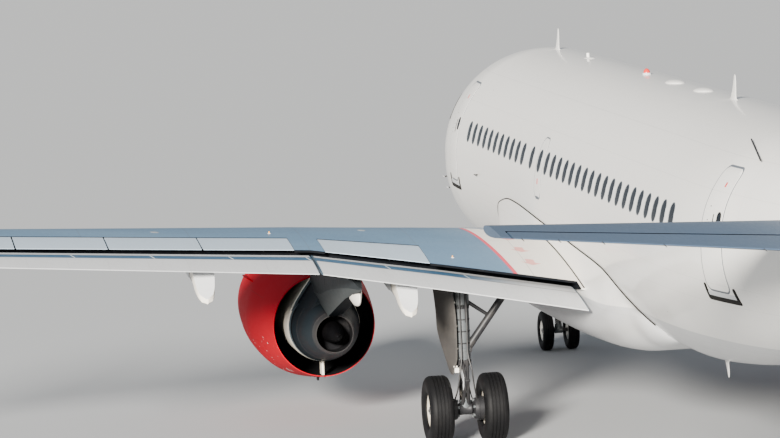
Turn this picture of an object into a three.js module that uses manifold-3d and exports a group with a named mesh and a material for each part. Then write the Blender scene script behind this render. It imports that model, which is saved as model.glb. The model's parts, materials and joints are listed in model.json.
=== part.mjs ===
// A short twin-engined narrow-body airliner, parked on its gear with its flaps a little way out.
// Frame: millimetres, +Z up, nose towards -Y, port wing towards +X.
// The origin is on the ground under the middle of the aircraft's box.
// Places along the aircraft are given as s, the distance aft of the nose tip.
import * as THREE from 'three';
import { mergeVertices } from 'three/addons/utils/BufferGeometryUtils.js';
import Module from 'manifold-3d';

const wasm = await Module();
wasm.setup();

// Driving dimensions
const LENGTH = 33840;
const SPAN = 34100;
const HEIGHT = 11760;
const SEAT = 0.3; // gap between pieces that rest on each other
const CLEAR = 10; // gap round pieces that move
const HULL_SIDES = 28; // flats round the fuselage
const LATHE_SIDES = 20; // flats round an engine
const WHEEL_SIDES = 20; // flats round a tyre
const BAR_SIDES = 8; // flats round a stay or a link
const PIN_SIDES = 12; // flats round a hinge pin and its bore
const AXLE_SIDES = 24; // flats round an axle and its bore
const LEG_SIDES = 10; // flats round a leg
const NOSE_GEAR_S = 5070;
const MAIN_GEAR_S = 16110;
const MAIN_GEAR_X = 3795;
const ENGINE_X = 5750;
const ENGINE_Z = 1800;
const BEHIND = LENGTH + 1000; // a place behind the whole aircraft
const BEYOND_HULL = 2600; // farther across than the hull's side
const PORT = 1;
const STARBOARD = -1;
const SIDES = [{ side: PORT, suffix: 'left' }, { side: STARBOARD, suffix: 'right' }];

/** Distance aft of the nose tip turned into a Y coordinate. */
const aft = (s) => s - LENGTH / 2;

/** A point from a side (+X or -X), a distance out, a distance aft and a height. */
const point = (x, s, z) => new THREE.Vector3(x, aft(s), z);

/** The value of a named column at place `at`, straight between the rows of a table. */
function between(rows, key, at, column) {
  const after = Math.max(1, rows.findIndex((row) => row[key] >= at));
  const last = after < 1 || at > rows[rows.length - 1][key] ? rows.length - 1 : after;
  const [a, b] = [rows[last - 1], rows[last]];
  const share = (at - a[key]) / (b[key] - a[key]);
  return a[column] + (b[column] - a[column]) * share;
}

// Solids: closed meshes that can be joined and cut

/** A closed solid from a geometry, with its faces turned outwards. */
function solid(geometry) {
  const bare = geometry.index ? geometry.toNonIndexed() : geometry.clone();
  for (const name of Object.keys(bare.attributes)) {
    if (name !== 'position') bare.deleteAttribute(name);
  }
  const merged = mergeVertices(bare, 1e-3);
  const vertProperties = new Float32Array(merged.attributes.position.array);
  const triVerts = new Uint32Array(dropFlat(merged.index.array));
  if (volume(vertProperties, triVerts) < 0) {
    for (let i = 0; i < triVerts.length; i += 3) {
      [triVerts[i + 1], triVerts[i + 2]] = [triVerts[i + 2], triVerts[i + 1]];
    }
  }
  return new wasm.Manifold(new wasm.Mesh({ numProp: 3, vertProperties, triVerts }));
}

/** The triangles whose three corners are three different points. */
function dropFlat(index) {
  const kept = [];
  for (let i = 0; i < index.length; i += 3) {
    const [a, b, c] = [index[i], index[i + 1], index[i + 2]];
    if (a !== b && b !== c && a !== c) kept.push(a, b, c);
  }
  return kept;
}

/** Six times the signed volume inside a list of triangles. */
function volume(points, triangles) {
  let sum = 0;
  const corner = (i) => new THREE.Vector3().fromArray(points, 3 * i);
  for (let i = 0; i < triangles.length; i += 3) {
    const [a, b, c] = [corner(triangles[i]), corner(triangles[i + 1]), corner(triangles[i + 2])];
    sum += a.dot(b.cross(c));
  }
  return sum;
}

/** A skin over rings of points that all have the same count, closed by a fan over each end ring. */
function loft(rings) {
  const positions = [];
  const triangle = (...corners) => corners.forEach((p) => positions.push(p.x, p.y, p.z));
  const middle = (ring) => ring.reduce((sum, p) => sum.add(p), new THREE.Vector3()).divideScalar(ring.length);
  for (let r = 0; r + 1 < rings.length; r += 1) {
    for (let i = 0; i < rings[r].length; i += 1) {
      const j = (i + 1) % rings[r].length;
      triangle(rings[r][i], rings[r][j], rings[r + 1][j]);
      triangle(rings[r][i], rings[r + 1][j], rings[r + 1][i]);
    }
  }
  for (const [ring, flip] of [[rings[0], true], [rings[rings.length - 1], false]]) {
    const centre = middle(ring);
    for (let i = 0; i < ring.length; i += 1) {
      const j = (i + 1) % ring.length;
      if (flip) triangle(centre, ring[j], ring[i]);
      else triangle(centre, ring[i], ring[j]);
    }
  }
  const geometry = new THREE.BufferGeometry();
  geometry.setAttribute('position', new THREE.Float32BufferAttribute(positions, 3));
  return solid(geometry);
}

/** A box between two corners given as [x, s, z]. */
function box(low, high) {
  const size = high.map((value, k) => value - low[k]);
  const geometry = new THREE.BoxGeometry(...size);
  geometry.translate(low[0] + size[0] / 2, aft(low[1] + size[1] / 2), low[2] + size[2] / 2);
  return solid(geometry);
}

/** A round bar from one [x, s, z] to another, its ends rounded off to `sides` flats. */
function bar(from, to, radius, sides = BAR_SIDES, endRadius = radius) {
  const a = point(...from);
  const b = point(...to);
  const geometry = new THREE.CylinderGeometry(endRadius, radius, a.distanceTo(b), sides);
  const up = new THREE.Vector3(0, 1, 0);
  const turn = new THREE.Quaternion().setFromUnitVectors(up, b.clone().sub(a).normalize());
  geometry.applyQuaternion(turn);
  const centre = a.add(b).divideScalar(2);
  geometry.translate(centre.x, centre.y, centre.z);
  return solid(geometry);
}

/** A flat outline of corners pushed out to a depth. */
function extruded(corners, depth) {
  const shape = new THREE.Shape(corners.map(([a, b]) => new THREE.Vector2(a, b)));
  return new THREE.ExtrudeGeometry(shape, { depth, bevelEnabled: false });
}

/** A plan outline of [x, s] corners as a prism between two heights, or as tall as the aircraft. */
function planPrism(outline, low = 0, high = HEIGHT) {
  const geometry = extruded(outline.map(([x, s]) => [x, aft(s)]), high - low);
  return solid(geometry.translate(0, 0, low));
}

/** A side outline of [s, z] corners as a prism between two distances across, or through the whole hull. */
function sidePrism(outline, from = -BEYOND_HULL, to = BEYOND_HULL) {
  const geometry = extruded(outline.map(([s, z]) => [aft(s), z]), Math.abs(to - from));
  const axes = [new THREE.Vector3(0, 1, 0), new THREE.Vector3(0, 0, 1), new THREE.Vector3(1, 0, 0)];
  geometry.applyMatrix4(new THREE.Matrix4().makeBasis(...axes));
  return solid(geometry.translate(Math.min(from, to), 0, 0));
}

/** A profile of [s, radius] corners turned about a line along the aircraft at x, z. */
function turned(profile, x, z, sides = LATHE_SIDES) {
  const geometry = new THREE.LatheGeometry(profile.map(([s, r]) => new THREE.Vector2(r, aft(s))), sides);
  geometry.translate(x, 0, z);
  return solid(geometry);
}

/** A profile of [across, radius] corners turned about a line across at s, z, with a flat underneath. */
function turnedAcross(profile, s, z, sides = WHEEL_SIDES) {
  const corners = profile.map(([x, r]) => new THREE.Vector2(r, x));
  const geometry = new THREE.LatheGeometry(corners, sides, Math.PI / sides);
  geometry.rotateZ(-Math.PI / 2);
  geometry.translate(0, aft(s), z);
  return solid(geometry);
}

/** All the solids of a list joined into one. */
const join = (parts) => parts.reduce((sum, part) => sum.add(part));

/** A solid with every solid of a list cut out of it. */
const cut = (part, tools) => tools.reduce((rest, tool) => rest.subtract(tool), part);

// Colours and finishes of the pieces
const finish = (color, roughness, metalness = 0) => ({ color, roughness, metalness });
const FINISHES = {
  white: finish(0xf1eeea, 0.35),
  grey: finish(0xb9bcbf, 0.45),
  wing: finish(0x8d9cad, 0.45),
  red: finish(0xd81e2c, 0.3),
  dark: finish(0x2b2d30, 0.5, 0.6),
  metal: finish(0xa9a8a4, 0.35, 0.9),
  gear: finish(0x8b8c8d, 0.4, 0.5),
  rubber: finish(0x141416, 0.85),
  glass: finish(0x11161b, 0.1),
};

const airliner = new THREE.Group();

/** Adds a finished solid to the aircraft as a named mesh. */
function place(name, part, look) {
  const mesh = part.getMesh();
  const geometry = new THREE.BufferGeometry();
  geometry.setAttribute('position', new THREE.BufferAttribute(new Float32Array(mesh.vertProperties), 3));
  geometry.setIndex(new THREE.BufferAttribute(new Uint32Array(mesh.triVerts), 1));
  geometry.computeVertexNormals();
  const object = new THREE.Mesh(geometry, new THREE.MeshStandardMaterial(FINISHES[look]));
  object.name = name;
  airliner.add(object);
}

// Fuselage
// s: place of the section, half: half width, crown and keel: heights of its top and bottom,
// belt: height of its widest place
const HULL = [
  { s: 0, half: 60, crown: 3360, keel: 3240, belt: 3300 },
  { s: 100, half: 290, crown: 3590, keel: 3010, belt: 3300 },
  { s: 350, half: 570, crown: 3880, keel: 2740, belt: 3310 },
  { s: 800, half: 900, crown: 4220, keel: 2440, belt: 3340 },
  { s: 1300, half: 1180, crown: 4520, keel: 2220, belt: 3390 },
  { s: 1850, half: 1410, crown: 4800, keel: 2060, belt: 3460 },
  { s: 2700, half: 1650, crown: 5340, keel: 1900, belt: 3590 },
  { s: 3500, half: 1810, crown: 5640, keel: 1800, belt: 3690 },
  { s: 4500, half: 1930, crown: 5810, keel: 1745, belt: 3770 },
  { s: 5600, half: 1975, crown: 5870, keel: 1730, belt: 3800 },
  { s: 18600, half: 1975, crown: 5870, keel: 1730, belt: 3800 },
  { s: 21000, half: 1975, crown: 5870, keel: 1770, belt: 3800 },
  { s: 22500, half: 1965, crown: 5870, keel: 1900, belt: 3840 },
  { s: 24000, half: 1915, crown: 5870, keel: 2100, belt: 3980 },
  { s: 25500, half: 1820, crown: 5870, keel: 2370, belt: 4130 },
  { s: 27000, half: 1590, crown: 5860, keel: 2680, belt: 4290 },
  { s: 28500, half: 1340, crown: 5830, keel: 3030, belt: 4470 },
  { s: 30000, half: 1050, crown: 5740, keel: 3490, belt: 4650 },
  { s: 31500, half: 720, crown: 5580, keel: 4010, belt: 4810 },
  { s: 32600, half: 440, crown: 5390, keel: 4430, belt: 4920 },
  { s: 33250, half: 240, crown: 5230, keel: 4710, belt: 4970 },
];
// name: the section's name, from and to: where it starts and ends
const SECTIONS = [
  { name: 'radome', from: 0, to: 1150 },
  { name: 'nose_section', from: 1150, to: 6350 },
  { name: 'fuselage_forward', from: 6350, to: 11200 },
  { name: 'fuselage_centre', from: 11200, to: 17400 },
  { name: 'fuselage_aft', from: 17400, to: 24200 },
  { name: 'tail_section', from: 24200, to: 29300 },
  { name: 'tail_cone', from: 29300, to: 33250 },
];

const LOBE_OFFSET = 95; // half the height between the centres of the upper and lower lobes
const FULL_HALF = 1975;
const HULL_END = HULL[HULL.length - 1].s;

/** The height and half width of the hull at place s, by column name. */
const hull = (s, column) => between(HULL, 's', s, column);

/** One ring of the hull: an upper and a lower half ellipse a little apart, grown by `grow`. */
function hullRing(s, grow) {
  const half = hull(s, 'half');
  const belt = hull(s, 'belt');
  const apart = LOBE_OFFSET * (half / FULL_HALF);
  return Array.from({ length: HULL_SIDES }, (_, i) => {
    const angle = (2 * Math.PI * (i + 0.5)) / HULL_SIDES;
    const upper = Math.sin(angle) > 0;
    const centre = belt + (upper ? apart : -apart);
    const reach = upper ? hull(s, 'crown') - centre : centre - hull(s, 'keel');
    return point((half + grow) * Math.cos(angle), s, centre + (reach + grow) * Math.sin(angle));
  });
}

/** The hull between two places, `grow` millimetres outside its skin, or inside it if less than 0. */
function hullBetween(from, to, grow = 0) {
  const places = [...HULL.map((row) => row.s), ...SECTIONS.map((section) => section.from)];
  const middle = places.sort((a, b) => a - b).filter((s) => s > from + 1 && s < to - 1);
  return loft([from, ...middle, to].map((s) => hullRing(s, grow)));
}

/** The whole hull, a seat's gap outside its skin. */
const grownHull = () => hullBetween(0, HULL_END, SEAT);

/** The half width of the hull's skin at place s and height z. */
function hullSide(s, z) {
  const half = hull(s, 'half');
  const apart = LOBE_OFFSET * (half / FULL_HALF);
  const belt = hull(s, 'belt');
  const upper = z > belt;
  const centre = belt + (upper ? apart : -apart);
  const reach = upper ? hull(s, 'crown') - centre : centre - hull(s, 'keel');
  const rise = (z - centre) / reach;
  return (upper ? rise < 0 : rise > 0) ? half : half * Math.sqrt(Math.max(0, 1 - rise * rise));
}

/** The height of the hull's underside at place s, x off its middle. */
function hullUnder(s, x) {
  const centre = hull(s, 'belt') - LOBE_OFFSET * (hull(s, 'half') / FULL_HALF);
  return centre - (centre - hull(s, 'keel')) * Math.sqrt(1 - (x / hull(s, 'half')) ** 2);
}

// Doors and hatches in the hull's side
// from, to: front and rear edge, sill and top: heights, moves: whether it turns on a hinge along its top
const FRONT_DOOR = { from: 4900, to: 5740, sill: 3420, top: 5280, section: 'nose_section' };
const AFT_DOOR = { from: 25530, to: 26370, sill: 3500, top: 5340, section: 'tail_section' };
const DOORS = [
  ...SIDES.map(({ side, suffix }) => ({ name: `door_front_${suffix}`, side, ...FRONT_DOOR })),
  ...SIDES.map(({ side, suffix }) => ({ name: `door_aft_${suffix}`, side, ...AFT_DOOR })),
  { name: 'cargo_door_front', side: STARBOARD, from: 7340, to: 9160, sill: 2030, top: 3270,
    section: 'fuselage_forward', moves: true },
  { name: 'cargo_door_aft', side: STARBOARD, from: 21950, to: 23770, sill: 2180, top: 3400,
    section: 'fuselage_aft', moves: true },
];
const DOOR_SKIN = 90; // how thick the door panels are
const DOOR_PLAY = CLEAR + 10; // gap round a door that turns
const DOOR_FLANK = 300; // how far out the block behind a door starts
const DOOR_MARGIN = 400; // how much hull ahead of and behind a door its panel is cut from
const HINGE_DEPTH = 22; // how far a cargo door's hinge line lies inside its top edge and its skin
const HINGE_PIN = 11; // radius of the hinge pins of doors and control surfaces
const PIN_LENGTH = 60;
const PIN_PLAY = 0.3; // least gap between a pin or an axle and its bore as it turns

/** The two ends of a cargo door's hinge line, as [x, s, z]. */
function doorHinge(door) {
  const height = door.top - HINGE_DEPTH;
  return [door.from, door.to].map((s) => [door.side * (hullSide(s, height) - HINGE_DEPTH), s, height]);
}

/** A point on the line through two points, `extra` millimetres past the second one. */
function beyond(from, to, extra) {
  const a = new THREE.Vector3(...from);
  const b = new THREE.Vector3(...to);
  return b.add(b.clone().sub(a).setLength(extra)).toArray();
}

/** A bar along the line through two points, from `extra` before the first to `extra` past the second. */
const longBar = (a, b, extra, radius) => bar(beyond(b, a, extra), beyond(a, b, extra), radius, PIN_SIDES);

/** The radius at the corners of a bore with as many flats as its bar, which the bar clears as it turns. */
const boreRadius = (radius, sides) => (radius + PIN_PLAY) / Math.cos(Math.PI / sides);

/** The block that spans one side of the hull behind a door, larger by `extra` all round. */
function doorBlock(door, extra) {
  const near = door.side * DOOR_FLANK;
  const far = door.side * BEYOND_HULL;
  return box(
    [Math.min(near, far), door.from - extra, door.sill - extra],
    [Math.max(near, far), door.to + extra, door.top + extra],
  );
}

/** A door panel, and the tools that cut its place in the hull. */
function door(spec) {
  const around = spec.moves ? DOOR_PLAY : SEAT;
  const behind = spec.moves ? CLEAR : SEAT;
  const reach = [spec.from - DOOR_MARGIN, spec.to + DOOR_MARGIN];
  let panel = hullBetween(...reach).intersect(doorBlock(spec, 0)).subtract(hullBetween(...reach, -DOOR_SKIN));
  const recess = doorBlock(spec, around).subtract(hullBetween(...reach, -DOOR_SKIN - behind));
  const tools = [recess];
  if (spec.moves) {
    const [front, rear] = doorHinge(spec);
    panel = panel.add(longBar(front, rear, PIN_LENGTH, HINGE_PIN));
    tools.push(longBar(front, rear, PIN_LENGTH + CLEAR, boreRadius(HINGE_PIN, PIN_SIDES)));
  }
  return { panel, tools };
}

// Windscreen: a glazed band round the front of the cockpit
const WINDSCREEN = [[1780, 4330], [3060, 5140], [3560, 5020], [4050, 4800], [4050, 4280], [2900, 4180]];
const WINDSCREEN_MIDDLE = [3200, 4600];

/** The prism across the nose that holds the cockpit glazing, its corners drawn in by `inset`. */
function glazingPrism(inset = 0) {
  const middle = new THREE.Vector2(...WINDSCREEN_MIDDLE);
  const corners = WINDSCREEN.map(([s, z]) => {
    const corner = new THREE.Vector2(s, z);
    return corner.add(middle.clone().sub(corner).setLength(inset)).toArray();
  });
  return sidePrism(corners);
}

// Nose gear bay
const NOSE_BAY = { half: 380, from: 4250, to: 6050, low: 1500, top: 2150 };

/** The open bay that the nose gear leg stands in. */
function noseBay() {
  const { half, from, to, low, top } = NOSE_BAY;
  return box([-half, from, low], [half, to, top]);
}

// Blade aerials
// s: front of the root, x: how far it stands off the middle, chord: root chord, tall: height,
// up: +1 above or -1 below the hull
const AERIALS = [
  { section: 'nose_section', s: 5880, x: 0, chord: 380, tall: 400, up: 1 },
  { section: 'fuselage_aft', s: 20120, x: 0, chord: 380, tall: 400, up: 1 },
  { section: 'fuselage_aft', s: 20900, x: 420, chord: 280, tall: 270, up: -1 },
];
const AERIAL_THICK = 24;
const AERIAL_SUNK = 60; // how deep its root reaches into the hull

/** A swept blade aerial standing on the hull's crown or hanging from its underside. */
function aerial({ s, x, chord, tall, up }) {
  const base = up > 0 ? hull(s, 'crown') : hullUnder(s, x);
  const root = base - up * AERIAL_SUNK;
  const tip = base + up * tall;
  const [tipFront, tipRear, rear] = [0.55, 0.85, 1].map((share) => s + share * chord);
  const outline = [[s, root], [s, base], [tipFront, tip], [tipRear, tip], [rear, base], [rear, root]];
  return sidePrism(outline, x - AERIAL_THICK / 2, x + AERIAL_THICK / 2);
}

// Wing
// x: station, s: leading edge, chord, front and rear: heights of the leading and trailing edge,
// thick: thickness over chord
const WING = [
  { x: 1600, s: 11133, chord: 6247, front: 2680, rear: 2570, thick: 0.15 },
  { x: 4200, s: 12487, chord: 4893, front: 3070, rear: 3030, thick: 0.133 },
  { x: 6400, s: 13632, chord: 3748, front: 3390, rear: 3390, thick: 0.118 },
  { x: 16960, s: 19129, chord: 1500, front: 4600, rear: 4420, thick: 0.108 },
];
const WING_CAMBER = 0.012;
const FOIL_STEPS = 8; // chordwise steps of each surface
const FOIL_ARC = Math.PI / 1.35; // the arc whose equal steps give the spread of the chordwise points

/** Half the thickness of a rounded section over its whole thickness, at share u of the chord. */
function foilHalf(u) {
  return 5 * (0.2969 * Math.sqrt(u) - 0.126 * u - 0.3516 * u ** 2 + 0.2843 * u ** 3 - 0.1015 * u ** 4);
}

/** The height of the section's surface over its chord, `side` +1 above and -1 below. */
const foil = (u, thick, side) => WING_CAMBER * 4 * u * (1 - u) + side * thick * foilHalf(u);

/** A row of a lifting surface's table at station x. */
function station(rows, x) {
  const row = { x };
  for (const column of Object.keys(rows[0])) {
    if (column !== 'x') row[column] = between(rows, 'x', x, column);
  }
  return row;
}

/** A point of the wing at station x, share u of the chord, on its upper (+1) or lower (-1) surface. */
function wingPoint(x, u, side, grow = 0) {
  const row = station(WING, x);
  const height = row.front + (row.rear - row.front) * u + row.chord * foil(u, row.thick, side);
  return [x, row.s + row.chord * u, height + side * grow];
}

/** The shares of the chord at which a section has its points, close together at the nose. */
const foilShares = Array.from({ length: FOIL_STEPS + 1 }, (_, i) => (
  (1 - Math.cos((FOIL_ARC * i) / FOIL_STEPS)) / (1 - Math.cos(FOIL_ARC))
));

/** How a section's outline grows: forward at its nose, aft at its tail and off its surface between. */
const growth = (u, grow) => ({ along: u === 0 ? -grow : u === 1 ? grow : 0, off: u === 0 ? 0 : grow });

/** A closed ring from a surface's points above (+1) and below (-1) the chord at some shares of it. */
function foilRing(shares, surface) {
  const above = shares.slice().reverse().map((u) => surface(u, 1));
  return [...above, ...shares.slice(1).map((u) => surface(u, -1))];
}

/** The closed ring of a wing section at station x on one side of the aircraft. */
function wingRing(x, side, grow) {
  return foilRing(foilShares, (u, up) => {
    const { along, off } = growth(u, grow);
    const [, s, z] = wingPoint(x, u, up, off);
    return point(side * x, s + along, z);
  });
}

/** The whole clean wing of one side. */
function cleanWing(side, grow = 0) {
  const middle = WING.slice(1, -1).map((row) => row.x);
  const stations = [WING[0].x - grow, ...middle, WING[WING.length - 1].x + grow];
  return loft(stations.map((x) => wingRing(x, side, grow)));
}

// Tip fence: [s, height] corners relative to the wing tip's leading edge
const FENCE = [
  [-60, 0], [820, 470], [1560, 800], [1760, 790], [1700, 0], [1640, -560], [1440, -580], [700, -300],
];
const FENCE_THICK = 90;

/** The fence that stands across the wing tip. */
function fence(side) {
  const tip = WING[WING.length - 1];
  const outline = FENCE.map(([s, z]) => [tip.s + s, tip.front + z]);
  return sidePrism(outline, side * (SPAN / 2 - FENCE_THICK), side * (SPAN / 2));
}

// Jacking pads: flat round feet under the wings and the nose
const JACK_PAD = { radius: 60, proud: 45, sunk: 60 };
const WING_JACK = { x: 6500, s: 15200 };
const NOSE_JACK_S = 3000;

/** The jacking pad under the skin at [x, s, z], its flat face down. */
function jackPad([x, s, z]) {
  return bar([x, s, z + JACK_PAD.sunk], [x, s, z - JACK_PAD.proud], JACK_PAD.radius, LEG_SIDES);
}

/** The jacking pad of one wing. */
function wingJackPad(side) {
  const row = station(WING, WING_JACK.x);
  const [x, s, z] = wingPoint(WING_JACK.x, (WING_JACK.s - row.s) / row.chord, -1);
  return jackPad([side * x, s, z]);
}

// Flaps, a little way out of the wing
// x: station, s and z: nose of the flap, tail_s and tail_z: its trailing edge, thick: its thickness
const FLAP = [
  { x: 2010, s: 16400, z: 2545, tail_s: 18050, tail_z: 2355, thick: 170 },
  { x: 4200, s: 16530, z: 2960, tail_s: 18040, tail_z: 2800, thick: 155 },
  { x: 6400, s: 16680, z: 3355, tail_s: 18030, tail_z: 3210, thick: 130 },
  { x: 12900, s: 18700, z: 4010, tail_s: 19780, tail_z: 3905, thick: 80 },
];
const FLAP_SPANS = [
  { name: 'flap_inboard', from: 2010, to: 6370 },
  { name: 'flap_outboard', from: 6430, to: 12900 },
];
const FLAP_STEPS = 6;
const FLAP_BLUNT = 6; // half the thickness of a flap's trailing edge

/** The closed ring of a flap section at station x. */
function flapRing(x, side, grow) {
  const row = station(FLAP, x);
  const shares = Array.from({ length: FLAP_STEPS + 1 }, (_, i) => (i / FLAP_STEPS) ** 1.6);
  return foilRing(shares, (u, up) => {
    const { along, off } = growth(u, grow);
    const half = row.thick * foilHalf(u) + FLAP_BLUNT * u + off;
    const [s, z] = [row.s + (row.tail_s - row.s) * u, row.z + (row.tail_z - row.z) * u];
    return point(side * x, s + along, z + up * half);
  });
}

/** One flap between two stations. */
function flap(side, { from, to }, grow = 0) {
  const middle = FLAP.map((row) => row.x).filter((x) => x > from && x < to);
  return loft([from - grow, ...middle, to + grow].map((x) => flapRing(x, side, grow)));
}

// Where the wing ends ahead of the flaps, and how far its upper skin reaches back over them
// x: station, cove: the wall ahead of the flap, shroud: the end of the upper skin and of the spoilers,
// hinge: front edge of the spoilers
const REAR = [
  { x: 1960, cove: 16350, shroud: 17030, hinge: 15560 },
  { x: 6400, cove: 16620, shroud: 16840, hinge: 15930 },
  { x: 12960, cove: 18650, shroud: 18990, hinge: 18200 },
];
const FLAP_ROOM = { from: 1990, to: 12950 }; // the stations between which the wing is cut away for the flaps
const SHROUD_ROOT = 50; // how far ahead of the cove the overhanging skin starts
const SHROUD_THICK = 40;
const SPOILER_THICK = 44;
const SPOILER_SPANS = [
  { name: 'spoiler_inboard', panels: [[4430, 6150]] },
  { name: 'spoilers_outboard', panels: [[6680, 8230], [8260, 9810], [9840, 11340], [11370, 12880]] },
];
const SPOILER_HINGE = 20; // how far the hinge lies behind the front edge and below the skin
const SPOILER_PLAY = CLEAR + 6; // gap ahead of and below the panels
const SPOILER_BEHIND = 200; // how far the room of the panels reaches behind them

/** A plan outline between two stations and two named edges of the wing's rear. */
function rearOutline(side, from, to, front, rear) {
  const middle = REAR.map((row) => row.x).filter((x) => x > from && x < to);
  const stations = [from, ...middle, to];
  const place = (x, edge) => [side * x, typeof edge === 'string' ? station(REAR, x)[edge] : edge(x)];
  return [...stations.map((x) => place(x, front)), ...stations.reverse().map((x) => place(x, rear))];
}

/** The upper skin of the wing, `thick` deep, inside a plan outline. */
function upperSkin(wing, outline, thick) {
  return wing.intersect(planPrism(outline)).subtract(wing.translate(0, 0, -thick));
}

/** The wing cut away for its flaps, except for the upper skin that reaches back over them. */
function openedWing(side, wing) {
  const { from, to } = FLAP_ROOM;
  const behindCove = planPrism(rearOutline(side, from, to, 'cove', () => BEHIND));
  const root = (x) => station(REAR, x).cove - SHROUD_ROOT;
  const overhang = upperSkin(wing, rearOutline(side, from, to, root, 'shroud'), SHROUD_THICK);
  return wing.subtract(behindCove).add(overhang);
}

/** The two ends of a spoiler's hinge line, as [x, s, z]. */
function spoilerHinge(side, from, to) {
  return [from, to].map((x) => {
    const s = station(REAR, x).hinge + SPOILER_HINGE;
    const row = station(WING, x);
    return [side * x, s, wingPoint(x, (s - row.s) / row.chord, 1)[2] - SPOILER_HINGE];
  });
}

/** A group of spoiler panels on one hinge line, and the tools that make room for it in the wing. */
function spoilers(side, wing, { panels }) {
  const first = panels[0][0];
  const last = panels[panels.length - 1][1];
  const plates = panels.map(([from, to]) => (
    upperSkin(wing, rearOutline(side, from, to, 'hinge', 'shroud'), SPOILER_THICK)
  ));
  const [a, b] = spoilerHinge(side, first, last);
  const rod = longBar(a, b, PIN_LENGTH, HINGE_PIN);
  const ahead = (x) => station(REAR, x).hinge - SPOILER_PLAY;
  const behind = (x) => station(REAR, x).shroud + SPOILER_BEHIND;
  const outline = rearOutline(side, first - CLEAR, last + CLEAR, ahead, behind);
  const pocket = planPrism(outline).subtract(wing.translate(0, 0, -SPOILER_THICK - SPOILER_PLAY));
  const bore = longBar(a, b, PIN_LENGTH + CLEAR, boreRadius(HINGE_PIN, PIN_SIDES));
  return { panel: join([...plates, rod]), tools: [pocket, bore] };
}

// Control surfaces on a round nose: one hinge line, a nose of the surface's own half thickness
const NOSE_SIDES = 16; // flats round that nose
const COVE_GAP = 20; // gap between the nose and the cove that it turns in

/**
 * A tail or wing surface split at a hinge line.
 * `whole` is the clean surface, `hinge` its inner and outer end with a radius each, `behind` a solid that
 * holds all that lies behind the hinge line between the two ends, `room` the same, larger by the gap at
 * the ends. The cove reaches `past` beyond the outer end, where the swept skin stands out as it turns.
 */
function split({ whole, hinge, behind, room, past }) {
  const [a, b] = hinge;
  const nose = bar(a.at, b.at, a.radius, NOSE_SIDES, b.radius);
  const ends = [beyond(b.at, a.at, COVE_GAP), beyond(a.at, b.at, past)];
  const cove = bar(...ends, a.radius + COVE_GAP, NOSE_SIDES, b.radius + COVE_GAP);
  const pins = longBar(a.at, b.at, PIN_LENGTH, HINGE_PIN);
  const bores = longBar(a.at, b.at, PIN_LENGTH + CLEAR, boreRadius(HINGE_PIN, PIN_SIDES));
  return { moving: whole.intersect(behind).add(nose).add(pins), tools: [room, cove, bores] };
}

const AILERON = { from: 13010, to: 16330, hinge: 0.745, gap: 26, past: 60 };

/** The two ends of an aileron's hinge line, each with the radius of the aileron's nose there. */
function aileronHinge(side) {
  return [AILERON.from, AILERON.to].map((x) => {
    const [, s, top] = wingPoint(x, AILERON.hinge, 1);
    const bottom = wingPoint(x, AILERON.hinge, -1)[2];
    return { at: [side * x, s, (top + bottom) / 2], radius: (top - bottom) / 2 - 2 };
  });
}

/** All that lies behind a line of [x, s] places between two stations, `gap` more at each end. */
function allBehind(side, lineAt, { from, to }, gap = 0) {
  const [near, far] = [from - gap, to + gap];
  return planPrism([
    [side * near, lineAt(near)], [side * far, lineAt(far)], [side * far, BEHIND], [side * near, BEHIND],
  ]);
}

/** The aileron of one side, and the tools that make room for it in the wing. */
function aileron(side, wing) {
  const hinge = aileronHinge(side);
  const slope = (hinge[1].at[1] - hinge[0].at[1]) / (AILERON.to - AILERON.from);
  const lineAt = (x) => hinge[0].at[1] + slope * (x - AILERON.from);
  return split({
    whole: wing,
    hinge,
    behind: allBehind(side, lineAt, AILERON),
    room: allBehind(side, lineAt, AILERON, AILERON.gap),
    past: AILERON.past,
  });
}

// Fixed and moving tail surfaces
// x: station out from the middle, s: leading edge, chord, z: height of the chord, thick: over chord
const TAILPLANE = [
  { x: 250, s: 28260, chord: 3870, z: 4590, thick: 0.11 },
  { x: 6225, s: 32140, chord: 1290, z: 5300, thick: 0.1 },
];
const ELEVATOR = { from: 1180, to: 6060, hinge: 0.69, gap: 30, past: 60 };
// z: height, s: leading edge, chord, thick: over chord
const FIN = [
  { z: 5300, s: 26150, chord: 5950, thick: 0.1 },
  { z: 6500, s: 27620, chord: 4960, thick: 0.1 },
  { z: HEIGHT, s: 32000, chord: 1840, thick: 0.1 },
];
const RUDDER = { from: 6080, to: 11600, hinge: 0.69, gap: 30, past: 50 };
const TAIL_STEPS = 6;
const TAIL_BLUNT = 4; // half the thickness of the trailing edges

/** The shares of the chord at which a tail section has its points. */
const tailShares = Array.from({ length: TAIL_STEPS + 1 }, (_, i) => (i / TAIL_STEPS) ** 1.7);

/** The closed ring of a symmetric section: `at` turns a place and a distance off the chord into a point. */
function symmetricRing({ s, chord, thick }, at) {
  const half = (u) => chord * thick * foilHalf(u) + TAIL_BLUNT * u;
  return foilRing(tailShares, (u, up) => at(s + chord * u, up * half(u)));
}

/** The whole tailplane half of one side. */
function cleanTailplane(side) {
  return loft(TAILPLANE.map((row) => symmetricRing(row, (s, off) => point(side * row.x, s, row.z + off))));
}

/** The whole fin with its rudder. */
const cleanFin = () => loft(FIN.map((row) => symmetricRing(row, (s, off) => point(off, s, row.z))));

/** The point of an elevator's hinge line at station x, with the radius of the elevator's nose there. */
function elevatorHinge(side, x) {
  const row = station(TAILPLANE, x);
  const radius = row.chord * row.thick * foilHalf(ELEVATOR.hinge);
  return { at: [side * x, row.s + row.chord * ELEVATOR.hinge, row.z], radius };
}

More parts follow.
